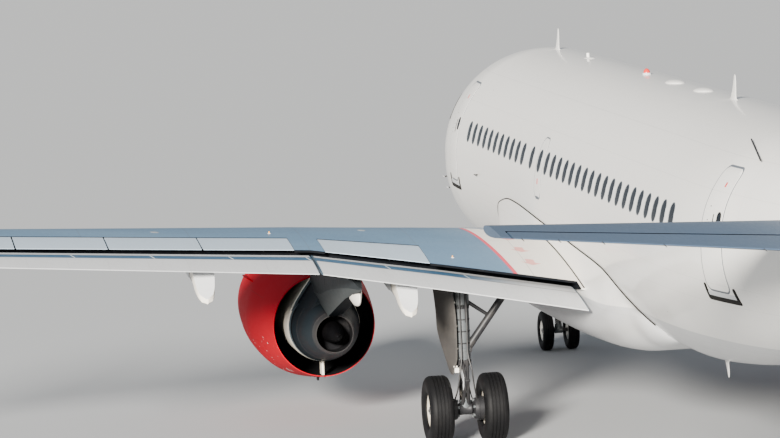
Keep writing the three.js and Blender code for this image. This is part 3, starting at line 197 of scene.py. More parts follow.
class Skin:
    """Closed bodies, each a grid of points, gathered into the mesh of one piece."""

    def __init__(self, name: str) -> None:
        """Starts an empty mesh."""
        self.name = name
        self.points: list[Array] = []
        self.faces: list[Array] = []
        self.slots: list[Array] = []
        self.marks: list[Array] = []
        self.count = 0

    def loft(
        self, rings: Array, slot: int | Array = 0, loop: bool = False, mark: Array | None = None
    ) -> "Skin":
        """Adds a closed body: rings of points joined by faces, closed by a flat face over each end.

        Faces are turned outwards by the sign of the volume that they enclose.

        Args:
            rings: points, rows by places round by 3.
            slot: material of the faces: for all, for each row of them, or for each row and place round.
            loop: joins the last ring to the first instead of closing the ends.
            mark: two numbers a point, kept as the piece's UV map.

        Returns:
            The same skin.
        """
        rings = np.asarray(rings, float)
        rows, around = rings.shape[:2]
        index = np.arange(rows * around).reshape(rows, around)
        here, there = (index, np.roll(index, -1, axis=0)) if loop else (index[:-1], index[1:])
        quads = np.stack([here, np.roll(here, -1, 1), np.roll(there, -1, 1), there], -1)
        slot = np.asarray(slot)
        of_faces = np.broadcast_to(slot[:, None] if slot.ndim == 1 else slot, (len(here), around))
        faces = [quads.reshape(-1, 4)]
        slots = [of_faces.ravel()]
        if not loop:
            faces += [index[:1, ::-1], index[-1:]]
            slots += [of_faces[0, :1], of_faces[-1, :1]]
        flat = rings.reshape(-1, 3)
        about = flat - flat.mean(0)
        enclosed = sum(
            np.einsum("ij,ij->", about[f[:, 0]], np.cross(about[f[:, k]], about[f[:, k + 1]]))
            for f in faces
            for k in range(1, f.shape[1] - 1)
        )
        for face, own in zip(faces, slots):
            self.faces.append((face if enclosed > 0 else face[:, ::-1]) + self.count)
            self.slots.append(own)
        self.points.append(flat)
        self.marks.append(np.zeros((len(flat), 2)) if mark is None else np.asarray(mark, float).reshape(-1, 2))
        self.count += len(flat)
        return self

    def bar(
        self, start: Place, end: Place, radius: float, slot: int = 0, sides: int = 24, foot: float | None = None,
        edge: float = 0.004,
    ) -> "Skin":
        """Adds a round bar between two points, with its edges broken.

        Args:
            start: middle of one end, as x, s, z.
            end: middle of the other end.
            radius: at the start.
            slot: its material.
            sides: flats round it.
            foot: radius at the end, the same if left out.
            edge: width of the broken edge.

        Returns:
            The same skin.
        """
        foot = radius if foot is None else foot
        a, b = stack(*start), stack(*end)
        along = unit(b - a)
        edge = min(edge, radius / 3, foot / 3)
        centres = np.stack([a, a + along * edge, b - along * edge, b])
        return self.tube(centres, np.array([radius - edge, radius, foot, foot - edge]), slot, sides)

    def tube(self, path: Array, radius: Array | float, slot: int = 0, sides: int = 12) -> "Skin":
        """Adds a tube: circles square to a path of points in the frame, each with its own radius."""
        path = np.asarray(path, float)
        along = unit(np.gradient(path, axis=0))
        least = np.eye(3)[np.argmin(np.abs(along).max(0))]
        across = unit(np.cross(along, least))
        other = np.cross(along, across)
        angle = np.arange(sides) * TURN / sides
        circle = across[:, None] * np.cos(angle)[:, None] + other[:, None] * np.sin(angle)[:, None]
        radius = np.broadcast_to(np.asarray(radius, float), (len(path),))
        return self.loft(path[:, None] + circle * radius[:, None, None], slot)

    def turned(
        self, profile: Array, centre: Place, axis: str = "s", slot: int | Array = 0, sides: int = 96,
        loop: bool = False,
    ) -> "Skin":
        """Adds a body of revolution.

        A point of the profile is a distance along the axis and a radius, and turns about the line through
        the centre: the point at angle a lies radius * (cos a, sin a) off that line.

        Args:
            profile: rows of distance along and radius.
            centre: a point of the axis, as x, s, z.
            axis: "s", "x" or "z".
            slot: material, for all or for each row of faces.
            sides: steps round.
            loop: the profile closes on itself.

        Returns:
            The same skin.
        """
        profile = np.asarray(profile, float)
        angle = (np.arange(sides) + 0.5) * TURN / sides
        along = np.broadcast_to(profile[:, :1], (len(profile), sides))
        one, two = profile[:, 1:] * np.cos(angle), profile[:, 1:] * np.sin(angle)
        x, s, z = {"s": (one, along, two), "x": (along, one, two), "z": (one, two, along)}[axis]
        return self.loft(stack(centre[0] + x, centre[1] + s, centre[2] + z), slot, loop)

    def plate(
        self, outline: Array, origin: Place, across: Place, up: Place, thick: float, slot: int = 0,
        edge: float = 0.003,
    ) -> "Skin":
        """Adds a plate: an outline pushed out along its normal, with its edges broken.

        Args:
            outline: rows of two numbers in the plate's plane.
            origin: where the outline's origin lies, as x, s, z.
            across: direction of the outline's first number, as x, y, z.
            up: direction of its second number.
            thick: thickness, half to each side.
            slot: its material.
            edge: width of the broken edge.

        Returns:
            The same skin.
        """
        outline = np.asarray(outline, float)
        one, two = unit(np.array(across, float)), unit(np.array(up, float))
        normal = np.cross(one, two)
        edge = min(edge, thick / 3)
        ahead, behind = np.roll(outline, -1, 0) - outline, outline - np.roll(outline, 1, 0)
        outward = unit(unit(ahead)[:, ::-1] * [1, -1] + unit(behind)[:, ::-1] * [1, -1])
        area = np.sum(outline[:, 0] * ahead[:, 1] - outline[:, 1] * ahead[:, 0])
        inset = outline - outward * math.copysign(edge, area)
        layers = [(inset, -thick / 2), (outline, -thick / 2 + edge), (outline, thick / 2 - edge), (inset, thick / 2)]
        base = stack(*origin)
        return self.loft(
            np.stack([base + flat[:, :1] * one + flat[:, 1:] * two + normal * off for flat, off in layers]), slot
        )

    def block(self, low: Place, high: Place, slot: int = 0, edge: float = 0.004) -> "Skin":
        """Adds a block between two corners given as x, s, z, with its edges broken."""
        low, high = np.array(low, float), np.array(high, float)
        half = np.abs(high - low) / 2
        corner = np.array([[-1, -1], [1, -1], [1, 1], [-1, 1]]) * half[:2]
        middle = (low + high) / 2
        return self.plate(corner, tuple(middle), (1, 0, 0), (0, 1, 0), 2 * half[2], slot, min(edge, *half / 3))

    def build(self, finishes: "Sequence[Finish]", sharp: float = 32) -> bpy.types.Object:
        """Makes the mesh and its object.

        Args:
            finishes: one for each material number that the faces use.
            sharp: angle in degrees past which an edge is shaded sharp.

        Returns:
            The new object, at the origin.
        """
        mesh = bpy.data.meshes.new(self.name)
        faces = [face for group in self.faces for face in group.tolist()]
        mesh.from_pydata(np.concatenate(self.points), [], faces)
        mesh.polygons.foreach_set("material_index", np.concatenate(self.slots).astype(np.int32))
        corners = np.concatenate([group.ravel() for group in self.faces])
        layer = mesh.uv_layers.new(name="UVMap")
        layer.uv.foreach_set("vector", np.concatenate(self.marks)[corners].astype(np.float32).ravel())
        for finish in finishes:
            mesh.materials.append(finish.material())
        piece = bpy.data.objects.new(self.name, mesh)
        bpy.context.scene.collection.objects.link(piece)
        tidy(mesh, sharp)
        return piece


def tidy(mesh: bpy.types.Mesh, sharp: float) -> None:
    """Closes poles and drops empty faces, then shades the mesh smooth up to an angle in degrees."""
    work = bmesh.new()
    work.from_mesh(mesh)
    bmesh.ops.remove_doubles(work, verts=work.verts, dist=2e-6)
    bmesh.ops.dissolve_degenerate(work, edges=work.edges, dist=2e-6)
    work.to_mesh(mesh)
    work.free()
    mesh.shade_smooth()
    mesh.set_sharp_from_angle(angle=math.radians(sharp))


def carve(piece: bpy.types.Object, tools: Sequence[Skin], finishes: "Sequence[Finish]", sharp: float = 32) -> None:
    """Cuts the bodies of some skins out of a piece, and leaves their finishes on the cut faces.

    Args:
        piece: the object to cut.
        tools: skins whose material numbers follow on the piece's own.
        finishes: the added materials.
        sharp: angle in degrees past which an edge is shaded sharp.
    """
    for finish in finishes:
        piece.data.materials.append(finish.material())
    for tool in tools:
        cutter = tool.build([])
        knife = piece.modifiers.new("cut", "BOOLEAN")
        knife.object, knife.operation, knife.solver = cutter, "DIFFERENCE", "EXACT"
        shape = piece.evaluated_get(bpy.context.evaluated_depsgraph_get())
        mesh = bpy.data.meshes.new_from_object(shape)
        piece.modifiers.clear()
        old, piece.data = piece.data, mesh
        bpy.data.meshes.remove(old)
        bpy.data.objects.remove(cutter)
    tidy(piece.data, sharp)


def fit(piece: bpy.types.Object, body: str, slot: str, *nodes: str) -> bpy.types.Object:
    """Makes a piece ride on a body, in place of some nodes of the frame, which it hides."""
    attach(piece, body)
    if nodes:
        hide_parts(*nodes)
    log.info("%s: %d faces on %s", piece.name, len(piece.data.polygons), body)
    return piece


# Shader maths


class Wire:
    """An output socket that adds Math nodes when it is used in an expression."""

    def __init__(self, graph: "Graph", socket: bpy.types.NodeSocket) -> None:
        """Wraps a socket of a graph."""
        self.graph = graph
        self.socket = socket

    def maths(self, operation: str, *values: "Wire | float") -> "Wire":
        """A Math node over some values."""
        return self.graph.node("ShaderNodeMath", {"operation": operation}, dict(enumerate(values)))

    def __add__(self, other: "Wire | float") -> "Wire":
        """self + other."""
        return self.maths("ADD", self, other)

    def __sub__(self, other: "Wire | float") -> "Wire":
        """self - other."""
        return self.maths("SUBTRACT", self, other)

    def __rsub__(self, other: float) -> "Wire":
        """other - self."""
        return self.maths("SUBTRACT", other, self)

    def __mul__(self, other: "Wire | float") -> "Wire":
        """self * other."""
        return self.maths("MULTIPLY", self, other)

    def __truediv__(self, other: "Wire | float") -> "Wire":
        """self / other."""
        return self.maths("DIVIDE", self, other)

    def __abs__(self) -> "Wire":
        """Absolute value."""
        return self.maths("ABSOLUTE", self)

    __radd__ = __add__
    __rmul__ = __mul__

    def least(self, other: "Wire | float") -> "Wire":
        """The smaller of two values."""
        return self.maths("MINIMUM", self, other)

    def most(self, other: "Wire | float") -> "Wire":
        """The larger of two values."""
        return self.maths("MAXIMUM", self, other)

    def rise(self, low: float, high: float) -> "Wire":
        """A soft step from 0 at `low` to 1 at `high`, or down to it if `high` is the smaller."""
        settings = {"interpolation_type": "SMOOTHSTEP"}
        if high < low:
            return 1 - self.graph.node("ShaderNodeMapRange", settings, {0: self, 1: high, 2: low})
        return self.graph.node("ShaderNodeMapRange", settings, {0: self, 1: low, 2: high})

    def near(self, place: "Wire | float", half: float, soft: float = 0.3) -> "Wire":
        """1 within `half` of a place, softened over a share of `half` at its edges."""
        return abs(self - place).rise(half * (1 + soft), half * (1 - soft))

    def within(self, low: float, high: float, soft: float = 0.004) -> "Wire":
        """1 between two places, 0 outside them."""
        return (self - low).rise(-soft, soft) * self.rise(high + soft, high - soft)

    def every(self, pitch: float) -> "Wire":
        """Distance to the nearest multiple of a pitch."""
        return self.maths("PINGPONG", self, pitch / 2)


class Graph:
    """The node tree of one material."""

    def __init__(self, name: str) -> None:
        """Starts a material with its Principled BSDF."""
        self.material = bpy.data.materials.new(name)
        self.material.use_nodes = True
        self.tree = self.material.node_tree
        self.surface = self.tree.nodes["Principled BSDF"]
        self.cache: dict[str, Wire] = {}

    def node(
        self, kind: str, settings: dict | None = None, sockets: dict | None = None, output: int | str = 0
    ) -> Wire:
        """Adds a node.

        Args:
            kind: its type.
            settings: its properties, set first; "stops" is a ramp's places and greys.
            sockets: values or wires of its inputs by name or number.
            output: which output to give back.

        Returns:
            The chosen output.
        """
        made = self.tree.nodes.new(kind)
        settings = dict(settings or {})
        stops = settings.pop("stops", None)
        for key, value in settings.items():
            setattr(made, key, value)
        if stops:
            for element, (place, grey) in zip(made.color_ramp.elements, stops):
                element.position, element.color = place, (grey, grey, grey, 1)
        for key, value in (sockets or {}).items():
            self.connect(made.inputs[key], value)
        return Wire(self, made.outputs[output])

    def connect(self, socket: bpy.types.NodeSocket, value: "Wire | float | Sequence[float]") -> None:
        """Links a wire to an input, or sets its value."""
        if isinstance(value, Wire):
            self.tree.links.new(value.socket, socket)
        elif isinstance(value, (tuple, list)) and len(value) == 3 and len(socket.default_value) == 4:
            socket.default_value = (*value, 1)
        else:
            socket.default_value = value

    def axis(self, name: str) -> Wire:
        """X, Y or Z of the frame at the shaded point, or S, the distance aft of the nose."""
        if not self.cache:
            spot = self.node("ShaderNodeTexCoord", output="Object")
            parts = self.node("ShaderNodeSeparateXYZ", sockets={0: spot})
            outs = parts.socket.node.outputs
            self.cache = {"P": spot, "X": Wire(self, outs[0]), "Y": Wire(self, outs[1]), "Z": Wire(self, outs[2])}
            self.cache["S"] = self.cache["Y"] - NOSE_Y
        return self.cache[name]

    def mark(self, number: int) -> Wire:
        """One of the two numbers of the piece's own UV map."""
        spot = self.node("ShaderNodeUVMap", {"uv_map": "UVMap"})
        parts = self.node("ShaderNodeSeparateXYZ", sockets={0: spot})
        return Wire(self, parts.socket.node.outputs[number])

    def noise(self, scale: float, detail: float = 3, stretch: Place = (1, 1, 1)) -> Wire:
        """Noise from 0 to 1, `scale` patches a metre, drawn out along the axes with a low stretch."""
        spot = self.node("ShaderNodeMapping", sockets={"Vector": self.axis("P"), "Scale": stretch})
        return self.node("ShaderNodeTexNoise", sockets={"Vector": spot, "Scale": scale, "Detail": detail})

    def mix(self, share: Wire | float, under: Wire | Colour, over: Wire | Colour) -> Wire:
        """A colour that goes from one to another as share goes from 0 to 1."""
        settings = {"data_type": "RGBA", "clamp_factor": True}
        return self.node("ShaderNodeMix", settings, {0: share, 6: under, 7: over}, output=2)

    def bump(self, height: Wire, depth: float, strength: float = 1.0) -> Wire:
        """A normal tilted by a height in metres times `depth`."""
        return self.node("ShaderNodeBump", sockets={"Strength": strength, "Distance": depth, "Height": height})


@dataclass(frozen=True)
class Finish:
    """A surface finish. Dirt darkens it in patches and streaks, and fine waves tilt it."""

    name: str
    colour: Colour
    roughness: float = 0.4
    metallic: float = 0.0
    coat: float = 0.0
    grime: float = 0.12
    grime_colour: Colour = (0.16, 0.14, 0.12)
    grain: float = 2.2
    stretch: Place = (1.0, 0.35, 1.0)
    wave: float = 0.0006
    fleck: float = 0.0
    gloss: float = 0.5  # 0.5 is the usual reflection of paint

    def material(self) -> bpy.types.Material:
        """The finish as a material, made once."""
        return bpy.data.materials.get(self.name) or self.make()

    def make(self) -> bpy.types.Material:
        """Builds the material: a pattern of colours, dirt over it, uneven gloss and a bump."""
        graph = Graph(self.name)
        base, height = self.pattern(graph)
        patches = graph.noise(self.grain, 6, self.stretch)
        fine = graph.noise(self.grain * 9, 4, self.stretch)
        dirt = (patches * 0.65 + fine * 0.35).rise(0.42, 0.78) * self.grime
        graph.connect(graph.surface.inputs["Base Color"], graph.mix(dirt, base, self.grime_colour))
        rough = (self.roughness + (fine - 0.5) * 0.1 + dirt * 0.5).most(0.03)
        graph.connect(graph.surface.inputs["Roughness"], rough)
        graph.surface.inputs["Metallic"].default_value = self.metallic
        graph.surface.inputs["Coat Weight"].default_value = self.coat
        graph.surface.inputs["Coat Roughness"].default_value = 0.08
        graph.surface.inputs["Specular IOR Level"].default_value = self.gloss
        relief = patches * self.wave if height is None else patches * self.wave + height
        if self.fleck:
            relief = relief + graph.noise(self.grain * 60, 2) * self.fleck
        graph.connect(graph.surface.inputs["Normal"], graph.bump(relief, 1.0))
        return graph.material

    def pattern(self, graph: Graph) -> tuple[Wire | Colour, Wire | None]:
        """The clean colour, and the height in metres of what stands on the surface or is cut into it."""
        return self.colour, None


# Finishes

WHITE: Colour = (0.83, 0.815, 0.78)
BELLY_GREY: Colour = (0.56, 0.565, 0.57)
SEAM_DARK: Colour = (0.10, 0.09, 0.085)


@dataclass(frozen=True)
class HullPaint(Finish):
    """White paint above, grey below, with the hull's skin joints and rivet rows."""

    frames: tuple[float, ...] = (1.15, 3.4, 6.35, 8.6, 11.2, 13.7, 17.4, 19.6, 22.0, 24.2, 26.9, 29.3, 31.2)
    laps: tuple[float, ...] = (2.42, 3.30, 3.62, 4.98, 5.46)  # heights of the lengthwise joints
    seam: float = 0.004
    grey_edge: float = 2.02  # height of the grey's edge ahead of the wings
    wing_step: float = 0.48  # how much higher it lies from the wings aft
    tail_step: float = 0.078  # and how much more towards the tail

    def pattern(self, graph: Graph) -> tuple[Wire, Wire]:
        """The belly's grey edge is higher from the wings aft; joints are thin dark lines cut 1 mm deep."""
        s, z, x = graph.axis("S"), graph.axis("Z"), graph.axis("X")
        edge = self.grey_edge + s.rise(9.2, 10.4) * self.wing_step + s.rise(18.0, 20.4) * self.tail_step
        grey = (z - edge).rise(0.012, -0.012)
        joint = largest([s.near(place, self.seam) for place in self.frames])
        joint = joint.most(largest([z.near(place, self.seam * 0.8) for place in self.laps]))
        rivets = s.every(0.53).rise(0.02, 0.01) * z.every(0.055).rise(0.008, 0.004)
        stain = graph.noise(0.55, 5, (2.4, 0.3, 0.9)).rise(0.45, 0.8) * z.rise(4.6, 2.2)
        colour = graph.mix(stain * 0.22, graph.mix(grey, WHITE, BELLY_GREY), (0.56, 0.49, 0.38))
        colour = graph.mix(joint * 0.16, colour, SEAM_DARK)
        colour = graph.mix(rivets * abs(x).rise(0.2, 0.6) * 0.06, colour, SEAM_DARK)
        return colour, joint * -0.0006


def largest(wires: Sequence[Wire]) -> Wire:
    """The largest of some masks."""
    return reduce(Wire.most, wires)


@dataclass(frozen=True)
class WingPaint(Finish):
    """Grey paint with skin joints, a cream walkway at the root behind a red line, and its arrows; the top's blue-grey
    is painted sky reflection.
    """

    edge: tuple[float, float] = (3.26, -0.0715)  # across at s 13 and its change a metre aft
    joints: tuple[float, ...] = (2.7, 4.45, 6.4, 8.35, 10.2, 12.95, 14.7)
    arrows: tuple[tuple[float, float], ...] = ((2.676, 14.47), (2.62, 15.38), (2.596, 16.20))
    walkway: float = 13.3  # where the walkway starts
    plane: tuple[float, float] = (2.16, 0.136)  # height that parts top from underside, and its rise a metre out

    def pattern(self, graph: Graph) -> tuple[Wire, Wire]:
        """Joints run across the chord and along the spars, which follow the sweep."""
        x, s, z = abs(graph.axis("X")), graph.axis("S"), graph.axis("Z")
        spar = s - x * 0.52
        joints = [x.near(place, 0.005) for place in self.joints]
        lines = largest(joints + [spar.near(place, 0.006) for place in (11.85, 13.25)])
        top = (z - self.plane[0] - x * self.plane[1]).rise(0.0, 0.04)
        boundary = self.edge[0] + (s - 13) * self.edge[1]
        root = (boundary - x).rise(-0.01, 0.01) * s.rise(self.walkway, self.walkway + 0.04)
        border = (x - boundary).near(0.03, 0.035) * s.rise(self.walkway, self.walkway + 0.04)
        arrow = largest([self.arrow(x, s, spot) for spot in self.arrows])
        # painted sky reflection: the top's blue-grey, in patches of a lighter blue
        sheen = graph.noise(0.7, 4, (0.35, 1.2, 1.0))
        skin = graph.mix(sheen, self.colour, (0.14, 0.23, 0.33))
        colour = graph.mix(root, skin, (0.74, 0.70, 0.64))
        colour = graph.mix(border, colour, (0.70, 0.05, 0.09))
        colour = graph.mix(arrow * 0.7, colour, (0.72, 0.16, 0.14))
        colour = graph.mix(lines * 0.5, colour, SEAM_DARK)
        # grey underside, and above it the blue-grey of painted sky reflection
        return graph.mix(top, graph.mix(lines * 0.5, (0.50, 0.51, 0.52), SEAM_DARK), colour), lines * -0.0008

    def arrow(self, x: Wire, s: Wire, spot: tuple[float, float]) -> Wire:
        """A broad arrow that points aft: a triangular head behind a short bar."""
        across, along = abs(x - spot[0]), s - spot[1]
        head = (0.17 - (along + across * 0.9)).rise(0, 0.01) * along.rise(0, 0.01)
        shaft = across.rise(0.08, 0.07) * along.rise(-0.2, -0.19) * along.rise(0.02, 0.01)
        return head.most(shaft)


@dataclass(frozen=True)
class FlapPaint(Finish):
    """A flap's bands along the chord: bare grey nose, a blue-grey middle in painted sky reflection and light grey
    tail.
    """

    nose: float = 0.25
    middle: float = 0.43

    def pattern(self, graph: Graph) -> tuple[Wire, Wire]:
        """The UV map holds metres along the span and the share of the chord, negative underneath."""
        along, chord = graph.mark(0), graph.mark(1)
        # the blue middle band is painted sky reflection, fading in from 2.5 to 4.1 m out along the span
        blue = chord.within(self.nose, self.middle, 0.008) * along.rise(2.5, 4.1)
        ticks = (along + chord * 0.35).every(1.32).rise(0.012, 0.006) * blue
        ribs = along.every(0.66).rise(0.012, 0.0)
        tail = graph.mix(ribs * 0.16, self.colour, (0.25, 0.25, 0.26))
        colour = graph.mix(blue, tail, (0.025, 0.085, 0.16))
        colour = graph.mix(ticks, colour, (0.72, 0.76, 0.78))
        edge = chord.near(self.nose, 0.012).most(chord.near(self.middle, 0.010))
        return graph.mix(edge * 0.75, colour, SEAM_DARK), edge * -0.002


@dataclass(frozen=True)
class CowlPaint(Finish):
    """Glossy paint of the engine cowls, with the joints of their doors and of the reverser."""

    joints: tuple[float, ...] = (9.62, 10.42, 11.55, 12.52)
    chips: tuple[float, float] = (0.70, 0.715)  # how much of a fine noise shows as chipped paint

    def pattern(self, graph: Graph) -> tuple[Wire, Wire]:
        """Joints run round at some places, and along the cowl between them at quarter turns."""
        x, s, z = graph.axis("X"), graph.axis("S"), graph.axis("Z")
        across = abs(x) - ENGINE_X
        angle = graph.node("ShaderNodeMath", {"operation": "ARCTAN2"}, {0: z - ENGINE_Z, 1: across})
        rounds = largest([s.near(place, 0.004) for place in self.joints])
        rows = (angle + 0.35).every(TURN / 8).rise(0.006, 0.003) * s.within(11.55, 12.52)
        keel = (angle + math.pi / 2).near(0, 0.005) * s.within(9.62, 13.4)
        line = rounds.most(rows).most(keel)
        chips = graph.noise(9, 2).rise(*self.chips) * z.rise(1.75, 1.45) * s.rise(9.7, 10.1)
        paint = graph.mix(chips, self.colour, (0.78, 0.74, 0.70))
        return graph.mix(line * 0.7, paint, (0.25, 0.01, 0.012)), line * -0.0015


@dataclass(frozen=True)
class HotMetal(Finish):
    """Bare metal tinted by heat in uneven rings."""

    tint: Colour = (0.16, 0.11, 0.08)

    def pattern(self, graph: Graph) -> tuple[Wire, None]:
        """The tint comes in broad bands along the engine."""
        bands = graph.noise(1.6, 4, (0.6, 2.5, 0.6))
        return graph.mix(bands.rise(0.4, 0.75) * 0.7, self.colour, self.tint), None


@dataclass(frozen=True)
class Tread(Finish):
    """Tyre rubber with fine patches of dust."""

    def pattern(self, graph: Graph) -> tuple[Wire, None]:
        """Dust lies in fine patches."""
        dust = graph.noise(14, 6).rise(0.46, 0.9)
        return graph.mix(dust * 0.02, self.colour, (0.10, 0.095, 0.085)), None


@dataclass(frozen=True)
class SeamPaint(Finish):
    """Paint with fine joints across the length at some places, and level ones at some heights."""

    places: tuple[float, ...] = ()
    levels: tuple[float, ...] = ()
    width: float = 0.003

    def pattern(self, graph: Graph) -> tuple[Wire, Wire]:
        """Each joint is a thin dark line, cut a little into the surface."""
        s, z = graph.axis("S"), graph.axis("Z")
        line = largest([s.near(place, self.width) for place in self.places]
                      + [z.near(level, self.width) for level in self.levels])
        return graph.mix(line * 0.55, self.colour, SEAM_DARK), line * -0.001


HULL_PAINT = HullPaint("hull_paint_white", WHITE, 0.30, coat=0.35, grime=0.07, grain=0.8, stretch=(1, 0.25, 1))
BELLY_PAINT = HullPaint("belly_paint_banded", WHITE, 0.34, coat=0.3, grime=0.10, grain=0.9, stretch=(1, 0.25, 1))
WHITE_PAINT = Finish("white_paint", WHITE, 0.32, coat=0.3, grime=0.10)
# its blue-grey colour is painted sky reflection on the wing's top
WING_PAINT = WingPaint("wing_paint_blue_grey", (0.075, 0.15, 0.24), 0.42, grime=0.08, stretch=(1, 0.4, 1), gloss=0.2)
# the spoilers' whitish blue is painted sky reflection
SPOILER_PAINT_REFLECTION = Finish("spoiler_paint", (0.38, 0.46, 0.54), 0.42, grime=0.12, grain=1.6, gloss=0.3)
FLAP_PAINT = FlapPaint("flap_paint_banded", (0.52, 0.53, 0.54), 0.42, grime=0.16, grain=1.8)
GREY_PAINT = Finish("grey_paint", (0.30, 0.31, 0.32), 0.42, grime=0.2)
PALE_GREY = Finish("pale_grey_paint", (0.55, 0.56, 0.57), 0.42, grime=0.16)
CREAM_PAINT = Finish("cream_paint", (0.84, 0.79, 0.70), 0.38, grime=0.10)
COWL_PAINT = CowlPaint("cowl_paint_red", (0.40, 0.0, 0.010), 0.55, grime=0.02, grain=1.4, gloss=0.03)
LIP_METAL = Finish("intake_lip_metal", (0.66, 0.66, 0.67), 0.22, 1.0, grime=0.1)
# near black that stands in for shade: painted shade in the fan duct, nozzle, tail pipe and wheel holes, on the outlet
# vanes and in the gap ahead of the core's cone
HOLLOW_SHADE = Finish("duct_black", (0.006, 0.006, 0.007), 0.7, grime=0.1, gloss=0.1)
CORE_CREAM = Finish("core_cowl_cream", (0.88, 0.81, 0.69), 0.5, grime=0.08)
CORE_METAL = HotMetal(
    "core_cowl_metal", (0.008, 0.013, 0.017), 0.5, grime=0.03, gloss=0.1, tint=(0.016, 0.012, 0.012)
)
NOZZLE_METAL = HotMetal(
    "nozzle_metal", (0.020, 0.020, 0.021), 0.45, 0.2, grime=0.1, gloss=0.2, tint=(0.03, 0.022, 0.02)
)
PLUG_METAL = HotMetal(
    "plug_metal", (0.0015, 0.0015, 0.002), 0.6, grime=0.01, gloss=0.05, tint=(0.003, 0.002, 0.002)
)
BAND_GREY = Finish("core_band_grey", (0.08, 0.11, 0.13), 0.42, 0.2, grime=0.15)
FAN_METAL = Finish("fan_titanium", (0.30, 0.31, 0.33), 0.3, 1.0, grime=0.1)
SPINNER_PAINT = Finish("spinner_paint", (0.05, 0.05, 0.055), 0.35, grime=0.15)
GEAR_PAINT = Finish("gear_enamel", (0.085, 0.095, 0.10), 0.36, 0.15, coat=0.2, grime=0.3, grain=5)
DARK_STEEL = Finish("dark_steel", (0.02, 0.02, 0.022), 0.45, 0.2, grime=0.2, grain=6, gloss=0.3)
CHROME = Finish("gear_chrome", (0.74, 0.74, 0.75), 0.14, 1.0, grime=0.12, grain=6)
HUB_PAINT = Finish("hub_paint", (0.50, 0.45, 0.37), 0.45, 0.2, grime=0.45, grain=7)
NOSE_HUB = Finish("nose_hub_paint", (0.78, 0.76, 0.71), 0.4, 0.1, grime=0.25, grain=7)
TYRE = Tread("tyre_rubber_black", (0.004, 0.004, 0.0045), 0.6, grime=0.02, grain=6, gloss=0.15)
HOSE = Finish("hose_rubber", (0.012, 0.012, 0.013), 0.5, grime=0.2, grain=8)
SEAL = Finish("seal_rubber", (0.010, 0.009, 0.008), 0.6, grime=0.05, grain=6, gloss=0.1)
DOOR_SEAL = Finish("door_seal", (0.10, 0.115, 0.135), 0.5, grime=0.1)
PANE = Finish("cabin_pane", (0.006, 0.009, 0.013), 0.25, grime=0.03, gloss=0.15)
PANE_RIM = Finish("pane_rim", (0.07, 0.085, 0.10), 0.4, 0.1, grime=0.1)
COCKPIT_PANE = Finish("cockpit_pane", (0.012, 0.015, 0.018), 0.06, coat=1.0, grime=0.08)
RED_MARK = Finish("red_mark", (0.66, 0.05, 0.05), 0.35, grime=0.1)
ORANGE_MARK = Finish("orange_mark", (0.95, 0.38, 0.02), 0.4, grime=0.05)
BEACON_GLASS = Finish("beacon_glass", (0.62, 0.03, 0.02), 0.1, coat=1.0, grime=0.02)
PRIMER = Finish("bay_primer", (0.34, 0.36, 0.30), 0.5, grime=0.4, grain=3)
BELLY_GREY_PAINT = Finish("belly_grey_paint", BELLY_GREY, 0.4, grime=0.3)
# near black on the cut faces of coves, spoiler places and control rooms: painted shade
COVE_SHADE = Finish("cove_paint", (0.004, 0.005, 0.007), 0.7, grime=0.05, grain=4, gloss=0.05)
FENCE_PAINT = Finish("fence_paint", (0.20, 0.27, 0.34), 0.36, coat=0.2, grime=0.1)
RIB_PAINT = Finish("flap_rib_paint", (0.05, 0.09, 0.13), 0.4, grime=0.1)
LAMP_RED = Finish("lamp_red", (0.7, 0.02, 0.02), 0.1, coat=1.0, grime=0.0)
LAMP_GREEN = Finish("lamp_green", (0.02, 0.5, 0.12), 0.1, coat=1.0, grime=0.0)
LAMP_CLEAR = Finish("lamp_clear", (0.82, 0.84, 0.86), 0.08, coat=1.0, grime=0.0)
PYLON_PAINT = SeamPaint(
    "pylon_paint_grey", (0.018, 0.021, 0.023), 0.5, grime=0.08, grain=2.5, gloss=0.08,
    places=(12.6, 13.3, 14.5, 15.5, 16.6), levels=(2.45,),
)
# lit and shaded copies of the pylon's grey: the keel darker as painted shade, the chamfers lighter as painted light
PYLON_KEEL_SHADE = Finish("pylon_keel_dark", (0.005, 0.007, 0.009), 0.6, grime=0.05, gloss=0.04)
PYLON_FLANK_LIGHT = Finish("pylon_flank_grey", (0.04, 0.045, 0.046), 0.5, grime=0.1, gloss=0.1)
# the tailplanes' dark slate blue is painted sky reflection and painted shade
TAIL_PAINT = SeamPaint("tail_paint_slate", (0.055, 0.09, 0.145), 0.42, grime=0.08, places=(29.2, 31.0), gloss=0.25)
FIN_PAINT = SeamPaint(
    "fin_paint_white", WHITE, 0.32, coat=0.3, grime=0.08, places=(28.5,), levels=(6.4, 8.2, 10.0, 11.3)
)
LEG_DOOR_PAINT = Finish("leg_door_paint", (0.05, 0.047, 0.044), 0.5, grime=0.3, gloss=0.2)
CAP_METAL = Finish("wheel_cap_metal", (0.42, 0.41, 0.40), 0.38, 0.7, grime=0.3, grain=7)


# Fuselage

